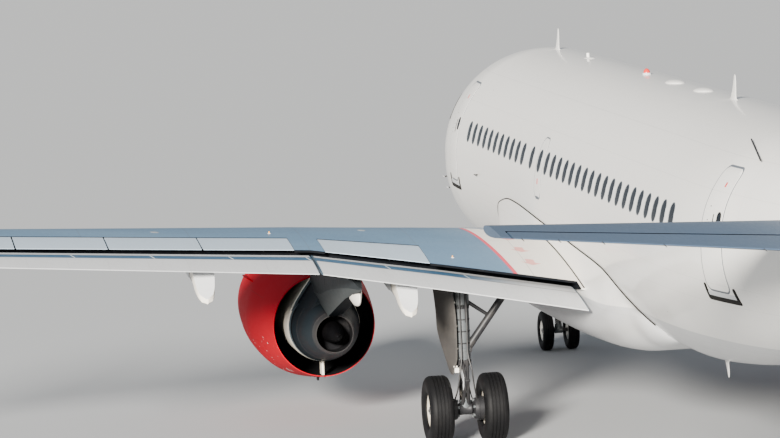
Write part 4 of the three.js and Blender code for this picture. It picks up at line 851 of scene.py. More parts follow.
HULL = Table(
    "s half crown keel belt",
    (0, 0.03, 3.33, 3.27, 3.30), (0.1, 0.29, 3.59, 3.01, 3.30), (0.35, 0.57, 3.88, 2.74, 3.31),
    (0.8, 0.90, 4.22, 2.44, 3.34), (1.3, 1.18, 4.52, 2.22, 3.39), (1.85, 1.41, 4.80, 2.06, 3.46),
    (2.7, 1.65, 5.34, 1.90, 3.59), (3.5, 1.81, 5.64, 1.80, 3.69), (4.5, 1.93, 5.81, 1.745, 3.77),
    (5.6, 1.975, 5.87, 1.73, 3.80), (18.6, 1.975, 5.87, 1.73, 3.80), (21.0, 1.975, 5.87, 1.77, 3.80),
    (22.5, 1.965, 5.87, 1.90, 3.84), (24.0, 1.915, 5.87, 2.10, 3.98), (25.5, 1.82, 5.87, 2.37, 4.13),
    (27.0, 1.59, 5.86, 2.68, 4.29), (28.5, 1.34, 5.83, 3.03, 4.47), (30.0, 1.05, 5.74, 3.49, 4.65),
    (31.5, 0.72, 5.58, 4.01, 4.81), (32.6, 0.44, 5.39, 4.43, 4.92), (33.25, 0.24, 5.23, 4.71, 4.97),
)
LOBE_OFFSET = 0.095  # half the height between the centres of the hull's two lobes where it is widest
FULL_HALF = 1.975
WINDOW_PITCH = 0.5334


def hull_section(s: Array) -> tuple[Array, ...]:
    """Half width, crown, keel and belt of the hull, and half the height between the centres of its lobes."""
    half, crown, keel, belt = (HULL.smooth(column, s) for column in HULL.names[1:])
    return half, crown, keel, belt, LOBE_OFFSET * half / FULL_HALF


def hull_skin(s: Array, angle: Array, lift: Array | float = 0) -> Array:
    """Points of the hull: an upper and a lower half ellipse, their centres a little apart at the belt.

    Args:
        s: distances aft.
        angle: angles in the section from the port side upwards, in radians.
        lift: distance outside the skin.

    Returns:
        The points.
    """
    half, crown, keel, belt, apart = hull_section(s)
    upper = np.sin(angle) > 0
    centre = belt + np.where(upper, apart, -apart)
    reach = np.where(upper, crown - centre, centre - keel)
    return stack((half + lift) * np.cos(angle), s, centre + (reach + lift) * np.sin(angle))


def hull_side(side: Side, s: Array | float, z: Array | float, lift: Array | float = 0) -> Array:
    """Points of the hull's side at given places and heights, `lift` outside the skin."""
    s, z = np.asarray(s, float), np.asarray(z, float)
    half, crown, keel, belt, apart = hull_section(s)
    upper = z > belt
    centre = belt + np.where(upper, apart, -apart)
    reach = np.where(upper, crown - centre, centre - keel)
    angle = np.arcsin(np.clip((z - centre) / reach, -1, 1))
    flat = np.abs(z - belt) < apart
    out = np.where(flat, half + lift, (half + lift) * np.cos(angle))
    return stack(side.value * out, s, np.where(flat, z, z + lift * np.sin(angle)))


def side_box(node: str) -> tuple[float, float, float, float]:
    """The middle of a node's box, aft and up, and half its length and height."""
    low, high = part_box(node)
    s, z = (low[1] + high[1]) / 2 - NOSE_Y, (low[2] + high[2]) / 2
    return s, z, (high[1] - low[1]) / 2, (high[2] - low[2]) / 2


@dataclass
class HullPatch:
    """A panel, pane or ring that follows the hull's side: a rounded rectangle of distances and heights."""

    side: Side
    s: float
    z: float
    half_s: float
    half_z: float
    radius: float
    arc: int = 5
    along: int = 3

    def rings(self, profile: Sequence[tuple[float, float]]) -> Array:
        """The outline grown by each first number and lifted off the skin by each second one."""
        rows = []
        for grow, lift in profile:
            ds, dz = rounded(self.half_s + grow, self.half_z + grow, self.radius + grow, self.arc, self.along).T
            rows.append(hull_side(self.side, self.s + ds, self.z + dz, lift))
        return np.stack(rows)

    def panel(self, skin: Skin, lift: float, slot: int = 0, sunk: float = 0.012, pitch: float = 0.12) -> None:
        """Adds a panel that stands `lift` off the skin, its back `sunk` under it."""
        least = min(self.half_s, self.half_z)
        inward = np.linspace(-least, 0, max(2, math.ceil(least / pitch) + 1))
        front = [(grow, lift) for grow in inward[:-1]] + [(-0.004, lift), (0, lift - 0.003)]
        back = [(0, -sunk)] + [(grow, -sunk) for grow in inward[::-1][1:]]
        skin.loft(self.rings(front + back), slot)

    def band(self, skin: Skin, width: float, lift: float, slot: int = 0, sunk: float = 0.01) -> None:
        """Adds a band of some width round the outline."""
        profile = [(0, -sunk), (0, lift), (width, lift), (width, -sunk)]
        skin.loft(self.rings(profile), slot, loop=True)


HOLDS = {"fuselage_forward": "cargo_door_front", "fuselage_aft": "cargo_door_aft"}


@dataclass
class Fuselage:
    """The hull's sections, with their windows, doors, panes and what stands on the skin."""

    sections: tuple[str, ...] = (
        "radome", "nose_section", "fuselage_forward", "fuselage_centre", "fuselage_aft", "tail_section", "tail_cone",
    )
    around: int = 152
    first_window: float = 6.80
    window_height: float = 4.455
    window_half: tuple[float, float] = (0.152, 0.195)  # half the length and height of a window
    exit_place: tuple[float, float] = (13.73, 4.33)
    exit_half: tuple[float, float] = (0.275, 0.53)
    exit_window: float = 12.9  # in window pitches from the first window
    margin: float = 0.06  # how far a cargo door's box reaches past its skin at each end
    bay: tuple[float, float, float, float] = (0.38, 4.25, 6.05, 2.15)  # half width, front, rear and roof

    def build(self) -> None:
        """Makes every piece of the fuselage."""
        for name in self.sections:
            self.section(name)
        for side in Side:
            self.windows(side)
            self.overwing_exit(side)
            self.passenger_door(side, "front")
            self.passenger_door(side, "aft")
        for end in ("front", "aft"):
            self.cargo_door(end)
        self.glazing()
        self.roof()
        self.tail_pipe()

    def section(self, name: str) -> None:
        """One section of the hull between its ends in the frame, a loft of rings close together where it tapers."""
        low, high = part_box(name)
        start, end = low[1] - NOSE_Y, high[1] - NOSE_Y
        if end < 6.4:
            pitch = 0.035 if end < 1.2 else 0.07
        else:
            pitch = 0.2 if start > 17 else 0.6
        rows = steps([start, *[p for p in HULL.places if start < p < end], end], pitch)
        angle = (np.arange(self.around) + 0.5) * TURN / self.around
        skin = Skin(f"{name}_skin").loft(hull_skin(rows[:, None], angle[None]))
        piece = skin.build([HULL_PAINT])
        if name == "nose_section":
            half, front, rear, roof = self.bay
            carve(piece, [Skin("bay_tool").block((-half, front, 1.2), (half, rear, roof), 1, 0.02)], [PRIMER])
        if name in HOLDS:
            carve(piece, [self.hold(HOLDS[name])], [PRIMER])
        fit(piece, "airframe", "hull_paint", name)

    def hold(self, door: str) -> Skin:
        """The recess behind a cargo door: a block with rounded corners, out past the hull's side."""
        gap = 0.018
        s, z, half_s, half_z = side_box(door)
        outline = rounded(half_s - self.margin + gap, half_z + gap, 0.06)
        s, z = s + outline[:, 0], z + outline[:, 1]
        outer, inner = stack(-2.6, s, z), hull_side(Side.RIGHT, s, z, -0.105)
        return Skin(f"{door}_tool").loft(np.stack([outer, inner]), 1)

    def windows(self, side: Side) -> None:
        """The cabin windows: panes a little proud in raised rims, a row of like bodies on the skin."""
        places = [*range(11), 11.5, *range(14, 33)]  # in pitches; the overwing exit has its own window
        skin = Skin(f"cabin_windows_{side.label}")
        for place in places:
            self.window(skin, side, self.first_window + place * WINDOW_PITCH)
        fit(skin.build([PANE, PANE_RIM]), "airframe", "cockpit_glass")

    def window(self, skin: Skin, side: Side, s: float) -> None:
        """One window: a pane and its rim."""
        half_s, half_z = self.window_half
        pane = HullPatch(side, s, self.window_height, half_s, half_z, half_s, 4, 2)
        rings = [(-half_s, 0.001), (-0.05, 0.001), (-0.014, 0.0), (-0.012, 0.004), (0.0, 0.004), (0.004, -0.008)]
        skin.loft(pane.rings([*rings, (-half_s, -0.008)]), np.array([0, 0, 1, 1, 1, 1]))

    def overwing_exit(self, side: Side) -> None:
        """The exit over the wing: a panel in a grey rounded band, heavier at its foot, with a window and a mark."""
        half_s, half_z = self.exit_half
        s, z = self.exit_place
        skin = Skin(f"overwing_exit_{side.label}")
        panel = HullPatch(side, s, z, half_s - 0.022, half_z - 0.022, 0.16, 5, 8)
        panel.panel(skin, 0.004)
        panel.band(skin, 0.022, 0.002, 1)
        HullPatch(side, s, z - half_z + 0.035, half_s - 0.12, 0.018, 0.018, 3, 6).panel(skin, 0.006, 1)
        HullPatch(side, s, z - 0.22, 0.035, 0.05, 0.01, 2, 2).panel(skin, 0.006, 2)
        piece = skin.build([HULL_PAINT, DOOR_SEAL, RED_MARK])
        fit(piece, "airframe", "hull_paint")
        glass = Skin(f"exit_window_{side.label}")
        self.window(glass, side, self.first_window + self.exit_window * WINDOW_PITCH)
        glass.points[0] = glass.points[0] + np.array([0.005 * side.value, 0, 0])
        fit(glass.build([PANE, PANE_RIM]), "airframe", "cockpit_glass")

    def passenger_door(self, side: Side, end: str) -> None:
        """A cabin door: a panel in a grey seal, with its window, handle, vent marks and the scuff plate below."""
        node = f"door_{end}_{side.label}"
        s, z, half_s, half_z = side_box(node)
        skin = Skin(f"{node}_skin")
        panel = HullPatch(side, s, z, half_s - 0.028, half_z - 0.028, 0.13, 6, 22)
        panel.panel(skin, 0.005)
        panel.band(skin, 0.028, 0.002, 1)
        window = HullPatch(side, s + 0.26, z + 0.17, 0.065, 0.105, 0.065, 5, 2)
        window.panel(skin, 0.008, 2)
        window.band(skin, 0.012, 0.011, 3)
        HullPatch(side, s + 0.04, z + 0.12, 0.014, 0.12, 0.01, 2, 4).panel(skin, 0.010, 3)
        for row, height in enumerate((-0.02, 0.06, 0.14, 0.34)):
            HullPatch(side, s - 0.22 + 0.02 * row, z + height, 0.018, 0.008, 0.004, 2, 2).panel(skin, 0.007, 3)
        HullPatch(side, s + 0.07, z + 0.66, 0.03, 0.035, 0.008, 2, 2).panel(skin, 0.007, 4)
        piece = skin.build([HULL_PAINT, DOOR_SEAL, PANE, SEAL, RED_MARK])
        fit(piece, "airframe", "hull_paint", node)
        sill = Skin(f"sill_plate_{end}_{side.label}")
        foot = z - half_z
        HullPatch(side, s + 0.02, foot - 0.05, half_s + 0.06, 0.045, 0.03, 4, 20).panel(sill, 0.005, 0)
        HullPatch(side, s + 0.02, foot - 0.11, half_s + 0.11, 0.040, 0.03, 4, 20).panel(sill, 0.007, 1)
        for corner in (-1, 1):
            spot = s + 0.02 + corner * (half_s + 0.09)
            HullPatch(side, spot, foot - 0.02, 0.042, 0.125, 0.03, 3, 6).panel(sill, 0.008, 1)
        fit(sill.build([PALE_GREY, SEAL]), "airframe", "hull_paint")

    def cargo_door(self, end: str) -> None:
        """A hold door: the hull's skin and the same skin 85 mm inside it, joined round rounded edges."""
        node = f"cargo_door_{end}"
        s, z, half_s, half_z = side_box(node)
        half_s -= self.margin
        patch = HullPatch(Side.RIGHT, s, z, half_s, half_z, 0.05, 5, 26)
        skin = Skin(f"{node}_skin")
        patch.panel(skin, 0.0, 0, sunk=0.085)
        HullPatch(Side.RIGHT, s, z - half_z + 0.14, 0.10, 0.035, 0.015, 3, 4).panel(skin, 0.004, 1)
        for offset in (-0.62, 0.62):
            HullPatch(Side.RIGHT, s + offset, z - half_z + 0.08, 0.04, 0.02, 0.01, 3, 3).panel(skin, 0.004, 1)
        hinge = PIVOTS[f"{node}_hinge"]
        for share in (-0.84, 0, 0.84):
            place = s + share * half_s
            skin.bar((hinge[0], place - 0.05, hinge[2]), (hinge[0], place + 0.05, hinge[2]), 0.012, 2, 16)
        fit(skin.build([HULL_PAINT, SEAL, GEAR_PAINT]), node, "hull_paint", node)

    def glazing(self) -> None:
        """The cockpit's six panes: four corners each in s and angle, blended across and lifted off the skin."""
        # front lower, front upper, rear upper and rear lower corner, each s and degrees up from the side
        panes = (
            ((1.86, 87), (2.60, 87.5), (2.80, 55), (2.14, 44)),
            ((2.22, 42), (2.86, 53), (3.30, 42), (2.98, 25)),
            ((3.06, 24.5), (3.38, 40), (3.84, 31), (3.84, 20)),
        )
        skin = Skin("cockpit_panes")
        share = rounded(0.5, 0.5, 0.09, 5, 8) + 0.5
        for mirror in (1, -1):
            for corners in panes:
                self.pane(skin, np.array(corners), share, mirror)
        fit(skin.build([COCKPIT_PANE, SEAL]), "airframe", "cockpit_glass", "cockpit_glazing")

    def pane(self, skin: Skin, corners: Array, share: Array, mirror: int) -> None:
        """One pane: its outline in shares of its sides, drawn in ring by ring, flat glass in a dark rim."""
        def rim(scale: float, lift: float) -> Array:
            """The outline scaled about its middle, on the skin."""
            u, v = ((share - 0.5) * scale + 0.5).T[:, :, None]
            at = (corners[0] * (1 - u) + corners[3] * u) * (1 - v) + (corners[1] * (1 - u) + corners[2] * u) * v
            angle = np.radians(at[:, 1])
            return hull_skin(at[:, 0], angle if mirror > 0 else math.pi - angle, lift)

        profile = [(0, 0.004), (0.3, 0.004), (0.6, 0.004), (0.93, 0.004), (0.94, 0.009), (1.0, 0.008), (1.02, -0.01)]
        rings = [rim(scale, lift) for scale, lift in [*profile, (0.5, -0.02), (0, -0.02)]]
        skin.loft(np.stack(rings), np.array([0, 0, 0, 1, 1, 1, 1, 1]))

    def roof(self) -> None:
        """What stands on the crown and hangs from the keel: blades, pads, beacons, probes and drain masts."""
        skin = Skin("roof_fittings")
        crown = 5.87
        domes = ((9.05, 0.10, 0.22, 0.035), (16.1, 0.16, 0.34, 0.06), (18.2, 0.16, 0.34, 0.06))
        for s, half_x, half_s, tall in domes:
            self.dome(skin, (0, s, crown - 0.012), half_x, half_s, tall, 0)
        skin.bar((0, 8.9, crown), (0, 8.9, crown + 0.09), 0.03, 0, 16)
        skin.bar((0, 13.9, crown - 0.02), (0, 13.9, crown + 0.03), 0.075, 2, 24)
        self.dome(skin, (0, 13.9, crown + 0.02), 0.06, 0.06, 0.085, 1)
        self.dome(skin, (0, 12.9, float(FAIRING.smooth("keel", 12.9))), 0.07, 0.07, -0.10, 1)
        fit(skin.build([WHITE_PAINT, BEACON_GLASS, PALE_GREY]), "airframe", "hull_paint")
        self.blades()
        self.probes()

    def dome(self, skin: Skin, foot: Place, half_x: float, half_s: float, tall: float, slot: int) -> None:
        """Adds a low dome: half an ellipsoid that stands on the skin, or hangs if `tall` is negative."""
        angle = np.linspace(0, math.pi / 2, 9)[:, None]
        turn = np.arange(32)[None] * TURN / 32
        top = stack(
            foot[0] + half_x * np.cos(angle) * np.cos(turn), foot[1] + half_s * np.cos(angle) * np.sin(turn),
            foot[2] + tall * np.sin(angle),
        )
        sunk = top[:1] - [0, 0, math.copysign(0.05, tall)]
        skin.loft(np.concatenate([sunk, top]), slot)

    def blades(self) -> None:
        """The blade aerials: swept plates, thick at the foot and thin at the tip, on flared feet."""
        # s of the front, place off the middle, root chord, height (negative below the hull)
        rows = ((5.88, 0, 0.40, 0.40), (20.12, 0, 0.42, 0.40), (20.9, 0.42, 0.30, -0.27))
        skin = Skin("blade_aerials")
        level = np.array([-0.12, 0.0, 0.06, 0.18, 0.45, 0.75, 0.93, 1.0])[:, None]
        sweep = np.array([0, 0, 0.10, 0.22, 0.42, 0.60, 0.70, 0.78])[:, None]
        length = np.array([1.3, 1.15, 0.86, 0.72, 0.55, 0.38, 0.26, 0.10])[:, None]
        thick = np.array([0.05, 0.035, 0.016, 0.012, 0.010, 0.008, 0.006, 0.003])[:, None]
        angle = np.arange(28) * TURN / 28
        along = (1 - np.cos(angle)) / 2
        for s, x, chord, tall in rows:
            turn = math.copysign(math.acos(x / float(HULL.smooth("half", s))), tall)
            base = float(hull_skin(s + chord / 2, np.array(turn))[2])
            aft_of_nose = s + chord * (sweep + length * along) - 0.05
            skin.loft(stack(x + thick * np.sin(angle), aft_of_nose, base + tall * level))
        fit(skin.build([WHITE_PAINT]), "airframe", "hull_paint")

    def probes(self) -> None:
        """Small dark probes and vents on the side, the thin rod aft of the last window, and drain masts."""
        skin = Skin("hull_probes")
        # s, z, how far aft its knee leans and how far out it stands, length, radius and material of its tube
        rows = (
            (7.92, 3.74, 0.05, 0.05, 0.12, 0.010, 0), (2.35, 3.02, 0, 0.09, 0.18, 0.009, 1),
            (2.55, 3.25, 0, 0.09, 0.18, 0.009, 1),
        )
        for side in Side:
            for s, z, lean, reach, length, radius, slot in rows:
                root = tuple(hull_side(side, s, z, -0.01) - [0, NOSE_Y, 0])
                knee = tuple(hull_side(side, s + lean, z, reach) - [0, NOSE_Y, 0])
                skin.bar(root, knee, 0.014, 0, 12)
                skin.bar(knee, (knee[0], knee[1] - length, knee[2]), radius, slot, 12)
        rod = hull_side(Side.LEFT, np.array([25.42, 26.73]), np.array([5.629, 5.439]), 0.05)
        skin.tube(rod, 0.013, 0)
        for s in (10.4, 24.9):
            foot = float(HULL.smooth("keel", s))
            outline = np.array([[0, 0.05], [0.22, 0.05], [0.30, -0.20], [0.22, -0.22], [0.12, -0.05]])
            low = foot if s > 20 else 1.55
            skin.plate(outline, (0, s, low), (0, 1, 0), (0, 0, 1), 0.03, 1)
        fit(skin.build([DARK_STEEL, PALE_GREY]), "airframe", "hull_paint")

    def tail_pipe(self) -> None:
        """The small exhaust at the end of the tail cone."""
        _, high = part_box("tail_cone")
        end = high[1] - NOSE_Y
        middle = (float(HULL.smooth("crown", end)) + float(HULL.smooth("keel", end))) / 2
        profile = [(end - 0.10, 0.16), (end + 0.02, 0.16), (end + 0.02, 0.145), (end - 0.06, 0.14), (end - 0.06, 0.0),
                   (end - 0.10, 0.0)]
        # the pipe's inside is near-black painted shade
        skin = Skin("tail_pipe").turned(np.array(profile), (0, 0, middle), "s", np.array([0, 0, 1, 1, 1]), 48)
        fit(skin.build([NOZZLE_METAL, HOLLOW_SHADE]), "airframe", "engine_metal")


# Wings and tail surfaces


def foil_half(u: Array) -> Array:
    """Half the thickness of a rounded section over its own thickness, at share u of the chord."""
    return 5 * (0.2969 * np.sqrt(u) - 0.126 * u - 0.3516 * u**2 + 0.2843 * u**3 - 0.1015 * u**4)


def chord_shares(start: float, end: float, count: int) -> Array:
    """Shares of a chord from start to end, closer together near its ends."""
    wave = (1 - np.cos(np.linspace(0, math.pi, count))) / 2
    return start + (end - start) * wave


@dataclass(frozen=True)
class Hinge:
    """A control surface's hinge line: its ends along the span, its share of the chord, and the room round it."""

    start: float
    end: float
    share: float
    gap: float  # past each end of the control
    trim: float = 0.0  # taken off the radius of its nose
    cove: float = 0.020  # from its nose to the wall of the cove


@dataclass(frozen=True)
class Surface:
    """A lifting surface: a table of stations t with s, chord, front, rear and thick, level or upright."""

    table: Table
    side: Side
    upright: bool = False
    camber: float = 0.0
    blunt: float = 0.004

    def column(self, name: str, t: Array) -> Array:
        """A column of the table at stations t."""
        return self.table.straight(name, t)

    def share(self, t: Array, s: Array) -> Array:
        """The share of the chord at a place aft."""
        return (s - self.column("s", t)) / self.column("chord", t)

    def place(self, t: Array, u: Array) -> Array:
        """The place aft of a share of the chord."""
        return self.column("s", t) + self.column("chord", t) * u

    def middle(self, t: Array, u: Array) -> Array:
        """Height of the curved middle line: the chord plus camber * 4u(1 - u)."""
        front, rear = self.column("front", t), self.column("rear", t)
        return front + (rear - front) * u + self.column("chord", t) * self.camber * 4 * u * (1 - u)

    def half(self, t: Array, u: Array) -> Array:
        """Half the thickness at a share of the chord, with a blunt tail."""
        u = np.clip(u, 0, 1)
        return self.column("chord", t) * self.column("thick", t) * foil_half(u) + self.blunt * u

    def height(self, t: Array, s: Array, up: float) -> Array:
        """Height of the upper (+1) or lower (-1) skin at a place aft."""
        u = np.clip(self.share(t, s), 0, 1)
        return self.middle(t, u) + up * self.half(t, u)

    def put(self, t: Array, s: Array, off: Array) -> Array:
        """The point at station t, place s and height off."""
        return stack(off, s, t) if self.upright else stack(self.side.value * t, s, off)

    def at(self, t: Array, u: Array, up: float, lift: float = 0.0) -> Array:
        """Points of the skin, lifted off it."""
        return self.put(t, self.place(t, u), self.middle(t, u) + up * (self.half(t, u) + lift))

    def shell(self, skin: Skin, stations: Array, count: int = 34, slot: int = 0) -> Skin:
        """Adds the whole surface: rings that run forward above and back below, one for each station."""
        t, u = stations[:, None], chord_shares(0, 1, count)[None]
        ring = np.concatenate([self.at(t, u[:, ::-1], 1), self.at(t, u[:, 1:], -1)], 1)
        return skin.loft(ring, slot)

    def nose(self, hinge: Hinge, t: Array) -> tuple[Array, Array, Array]:
        """Place, height and radius of a control's round nose at stations t, straight between its ends."""
        ends = np.array([hinge.start, hinge.end])
        radius = self.half(ends, hinge.share) - self.blunt * hinge.share - hinge.trim
        place, middle = self.place(ends, hinge.share), self.middle(ends, hinge.share)
        return tuple(np.interp(t, ends, row) for row in (place, middle, radius))

    def room(self, hinge: Hinge) -> Skin:
        """The tool that makes room for a control: all behind the hinge line, and a round cove ahead of it."""
        t = np.linspace(hinge.start - hinge.gap, hinge.end + hinge.gap, 9)[:, None]
        s, z, r = (np.interp(t, t[[0, -1], 0], row) for row in self.ends(hinge))
        angle = np.linspace(math.pi / 2, 3 * math.pi / 2, 17)
        r = r + hinge.cove
        arc = self.put(t, s + r * np.cos(angle), z + r * np.sin(angle))
        corners = [self.put(t, s + ds, z + dz) for ds, dz in ((0, -0.6), (3.0, -0.6), (3.0, 0.6), (0, 0.6))]
        return Skin("room").loft(np.concatenate([arc, *corners], 1), 1)

    def ends(self, hinge: Hinge) -> tuple[Array, Array, Array]:
        """Place, height and radius of the hinge line, drawn on past its ends by the gap."""
        t = np.array([hinge.start - hinge.gap, hinge.end + hinge.gap])
        return tuple(row[0] + (row[1] - row[0]) * (t - hinge.start) / (hinge.end - hinge.start)
                     for row in self.nose(hinge, np.array([hinge.start, hinge.end])))

    def control(self, skin: Skin, hinge: Hinge, pitch: float = 0.4, slot: int = 0) -> Skin:
        """Adds the moving part behind a hinge: a round nose, and the skins back to the tail."""
        t = steps([hinge.start, hinge.end], pitch)[:, None]
        s, z, r = self.nose(hinge, t)
        angle = np.linspace(math.pi / 2, 3 * math.pi / 2, 13)
        arc = self.put(t, s + r * np.cos(angle), z + r * np.sin(angle))
        u = chord_shares(hinge.share, 1, 12)[None, 1:]
        return skin.loft(np.concatenate([arc, self.at(t, u, -1), self.at(t, u[:, ::-1], 1)], 1), slot)

    def wicks(self, skin: Skin, stations: Sequence[float], slot: int, length: float = 0.16) -> None:
        """Adds static wicks: thin rods on small feet that trail from the rear edge."""
        for t in stations:
            s, z = float(self.place(t, 1.0)), float(self.middle(t, 1.0))
            root, tip = self.put(t, s - 0.03, z), self.put(t, s + length, z - 0.015)
            skin.tube(np.stack([root, root * 0.7 + tip * 0.3, tip]), np.array([0.012, 0.006, 0.004]), slot, 8)


WING = Table(
    "t s chord front rear thick",
    (1.6, 11.133, 6.247, 2.68, 2.57, 0.15), (4.2, 12.487, 4.893, 3.07, 3.03, 0.133),
    (6.4, 13.632, 3.748, 3.39, 3.39, 0.118), (16.96, 19.129, 1.5, 4.6, 4.42, 0.108),
)
REAR = Table(
    "t cove shroud hinge",
    (1.96, 16.35, 17.03, 15.56), (6.4, 16.62, 16.84, 15.93), (12.96, 18.65, 18.99, 18.2),
)
FLAP = Table(
    "t s z tail_s tail_z thick",
    (2.01, 16.4, 2.545, 18.05, 2.355, 0.17), (4.2, 16.53, 2.96, 18.04, 2.8, 0.155),
    (6.4, 16.68, 3.355, 18.03, 3.21, 0.13), (12.9, 18.7, 4.01, 19.78, 3.905, 0.08),
)
AILERON = Hinge(13.01, 16.33, 0.745, 0.026, 0.002)
FENCE = np.array([
    [-0.06, 0], [0.35, 0.2], [0.82, 0.47], [1.2, 0.65], [1.56, 0.8], [1.7, 0.81], [1.76, 0.79], [1.74, 0.4], [1.7, 0],
    [1.67, -0.3], [1.64, -0.56], [1.57, -0.6], [1.44, -0.58], [1.05, -0.44], [0.7, -0.3], [0.3, -0.14],
])


def wing_surface(side: Side) -> Surface:
    """The shape of one wing."""
    return Surface(WING, side, camber=0.012, blunt=0.0)


@dataclass
class WingHalf:
    """One wing with its fence, spoilers, aileron, flaps and track fairings."""

    side: Side
    shroud: float = 0.04  # thickness of the upper skin over the flaps
    pocket: float = 0.06  # depth of the place that the spoilers lie in
    plate: float = 0.044  # thickness of a spoiler near its front
    jack: tuple[float, float] = (6.5, 15.2)  # place of the jacking pad, across and aft
    spans: tuple[tuple[str, tuple[tuple[float, float], ...]], ...] = (
        ("spoiler_inboard", ((4.43, 6.15),)),
        ("spoilers_outboard", ((6.68, 8.23), (8.26, 9.81), (9.84, 11.34), (11.37, 12.88))),
    )
    flaps: tuple[tuple[str, float, float], ...] = (("flap_inboard", 2.01, 6.37), ("flap_outboard", 6.43, 12.9))
    surface: Surface = field(init=False)

    def __post_init__(self) -> None:
        """Sets out the wing's surface."""
        self.surface = wing_surface(self.side)

    def build(self) -> None:
        """Makes every piece of the wing."""
        self.box()
        for name, panels in self.spans:
            self.spoilers(name, panels)
        self.aileron()
        for name, start, end in self.flaps:
            self.flap(name, start, end)
        self.fittings()

    def name(self, part: str) -> str:
        """A node's name on this side."""
        return f"{part}_{self.side.label}"

    def box(self) -> None:
        """The fixed wing, with the cove under its rear skin, the spoilers' places and the aileron's room cut out."""
        stations = steps([1.6, 4.2, 6.4, 16.96], 0.3)
        skin = self.surface.shell(Skin(f"{self.name('wing')}_skin"), stations, 40)
        piece = skin.build([WING_PAINT])
        tools = [self.cove(), self.surface.room(AILERON)]
        tools += [self.pocket_tool(panels[0][0], panels[-1][1]) for _, panels in self.spans]
        # the cut faces take near-black painted shade
        carve(piece, tools, [COVE_SHADE], 26)
        fit(piece, "airframe", "wing_paint", self.name("wing"))
        self.fence()

    def fence(self) -> None:
        """The tip fence: a plate swept up and down with thin edges, and the tip's red or green lamp."""
        tip = Skin(self.name("tip_fence"))
        centre = FENCE.mean(0)
        layers = [(16.955, 0.80), (16.962, 0.97), (16.98, 1.0), (17.02, 1.0), (17.044, 0.975), (17.05, 0.93)]
        rings = []
        for x, scale in layers:
            s, z = (centre + (FENCE - centre) * scale).T
            rings.append(stack(self.side.value * x, 19.129 + s, 4.6 + z))
        tip.loft(np.stack(rings))
        lamp = 1 if self.side is Side.LEFT else 2
        tip.bar((self.side.value * 17.0, 19.0, 4.6), (self.side.value * 17.0, 19.16, 4.6), 0.012, lamp, 16, 0.03)
        fit(tip.build([FENCE_PAINT, LAMP_RED, LAMP_GREEN]), "airframe", "wing_paint")

    def rows(self, t: Array, s: Array, z: Array) -> Array:
        """Rings of points at stations t with their places and heights."""
        return stack(self.side.value * t[:, None], s, z)

    def cove(self) -> Skin:
        """The tool behind the rear wall of the wing and under its upper skin."""
        t = steps([1.99, 4.2, 6.4, 12.95], 0.6)
        wall, lip = REAR.straight("cove", t)[:, None], REAR.straight("shroud", t)[:, None]
        run = wall + (lip - wall) * np.linspace(0, 1, 5)
        under = self.surface.height(t[:, None], run, 1) - self.shroud
        low, high, rear = under[:, :1] - 1.4, under[:, -1:] + 0.5, lip + 2.5
        s = np.concatenate([wall, run, lip, rear, rear], 1)
        return Skin("cove").loft(self.rows(t, s, np.concatenate([low, under, high, high, low], 1)), 1)

    def pocket_tool(self, start: float, end: float) -> Skin:
        """The tool that makes the place of a group of spoilers."""
        t = steps([start - 0.01, *([6.4] if start < 6.4 < end else []), end + 0.01], 0.6)
        front, lip = REAR.straight("hinge", t)[:, None] - 0.016, REAR.straight("shroud", t)[:, None] + 0.2
        run = front + (lip - front) * np.linspace(0, 1, 9)
        top = self.surface.height(t[:, None], run, 1)
        s = np.concatenate([run, lip, front], 1)
        z = np.concatenate([top - self.pocket, top[:, -1:] + 0.3, top[:, :1] + 0.3], 1)
        return Skin("pocket").loft(self.rows(t, s, z), 1)

    def spoilers(self, name: str, panels: Sequence[tuple[float, float]]) -> None:
        """A group of spoilers: plates that thin towards the rear, with their hinge lugs and pins."""
        skin = Skin(f"{self.name(name)}_skin")
        for start, end in panels:
            t = steps([start, end], 0.25)
            share = np.linspace(0, 1, 14)
            front, lip = REAR.straight("hinge", t)[:, None], REAR.straight("shroud", t)[:, None]
            s = front + (lip - front) * share
            top = self.surface.height(t[:, None], s, 1) + 0.003
            top[:, 0] -= 0.010
            under = top - np.interp(share, [0, 0.12, 0.7, 1], [0.03, self.plate, 0.030, 0.010])
            ring = np.concatenate([self.rows(t, s, top), self.rows(t, s, under)[:, ::-1]], 1)
            skin.loft(ring)
            for place in np.linspace(start + 0.2, end - 0.2, 3):
                s0 = float(REAR.straight("hinge", place)) + 0.02
                z0 = float(self.surface.height(place, s0, 1)) - 0.02
                x0 = self.side.value * place
                skin.bar((x0 - 0.04, s0, z0), (x0 + 0.04, s0, z0), 0.013, 1, 14)
        fit(skin.build([SPOILER_PAINT_REFLECTION, DARK_STEEL], 40), self.name(name), "wing_paint", self.name(name))

    def aileron(self) -> None:
        """The aileron with its static wicks."""
        skin = self.surface.control(Skin(f"{self.name('aileron')}_skin"), AILERON, 0.3)
        self.surface.wicks(skin, (13.6, 14.7, 15.8), 1)
        fit(skin.build([WING_PAINT, DARK_STEEL]), self.name("aileron"), "wing_paint", self.name("aileron"))

    def flap_rings(self, t: Array, shares: Array, up: float) -> Array:
        """Points of a flap's upper or lower skin: the chord, its rounded half thickness and a blunt tail."""
        row = {name: FLAP.straight(name, t)[:, None] for name in FLAP.names[1:]}
        half = row["thick"] * foil_half(shares) + 0.006 * shares
        s = row["s"] + (row["tail_s"] - row["s"]) * shares
        return self.rows(t, s, row["z"] + (row["tail_z"] - row["z"]) * shares + up * half)

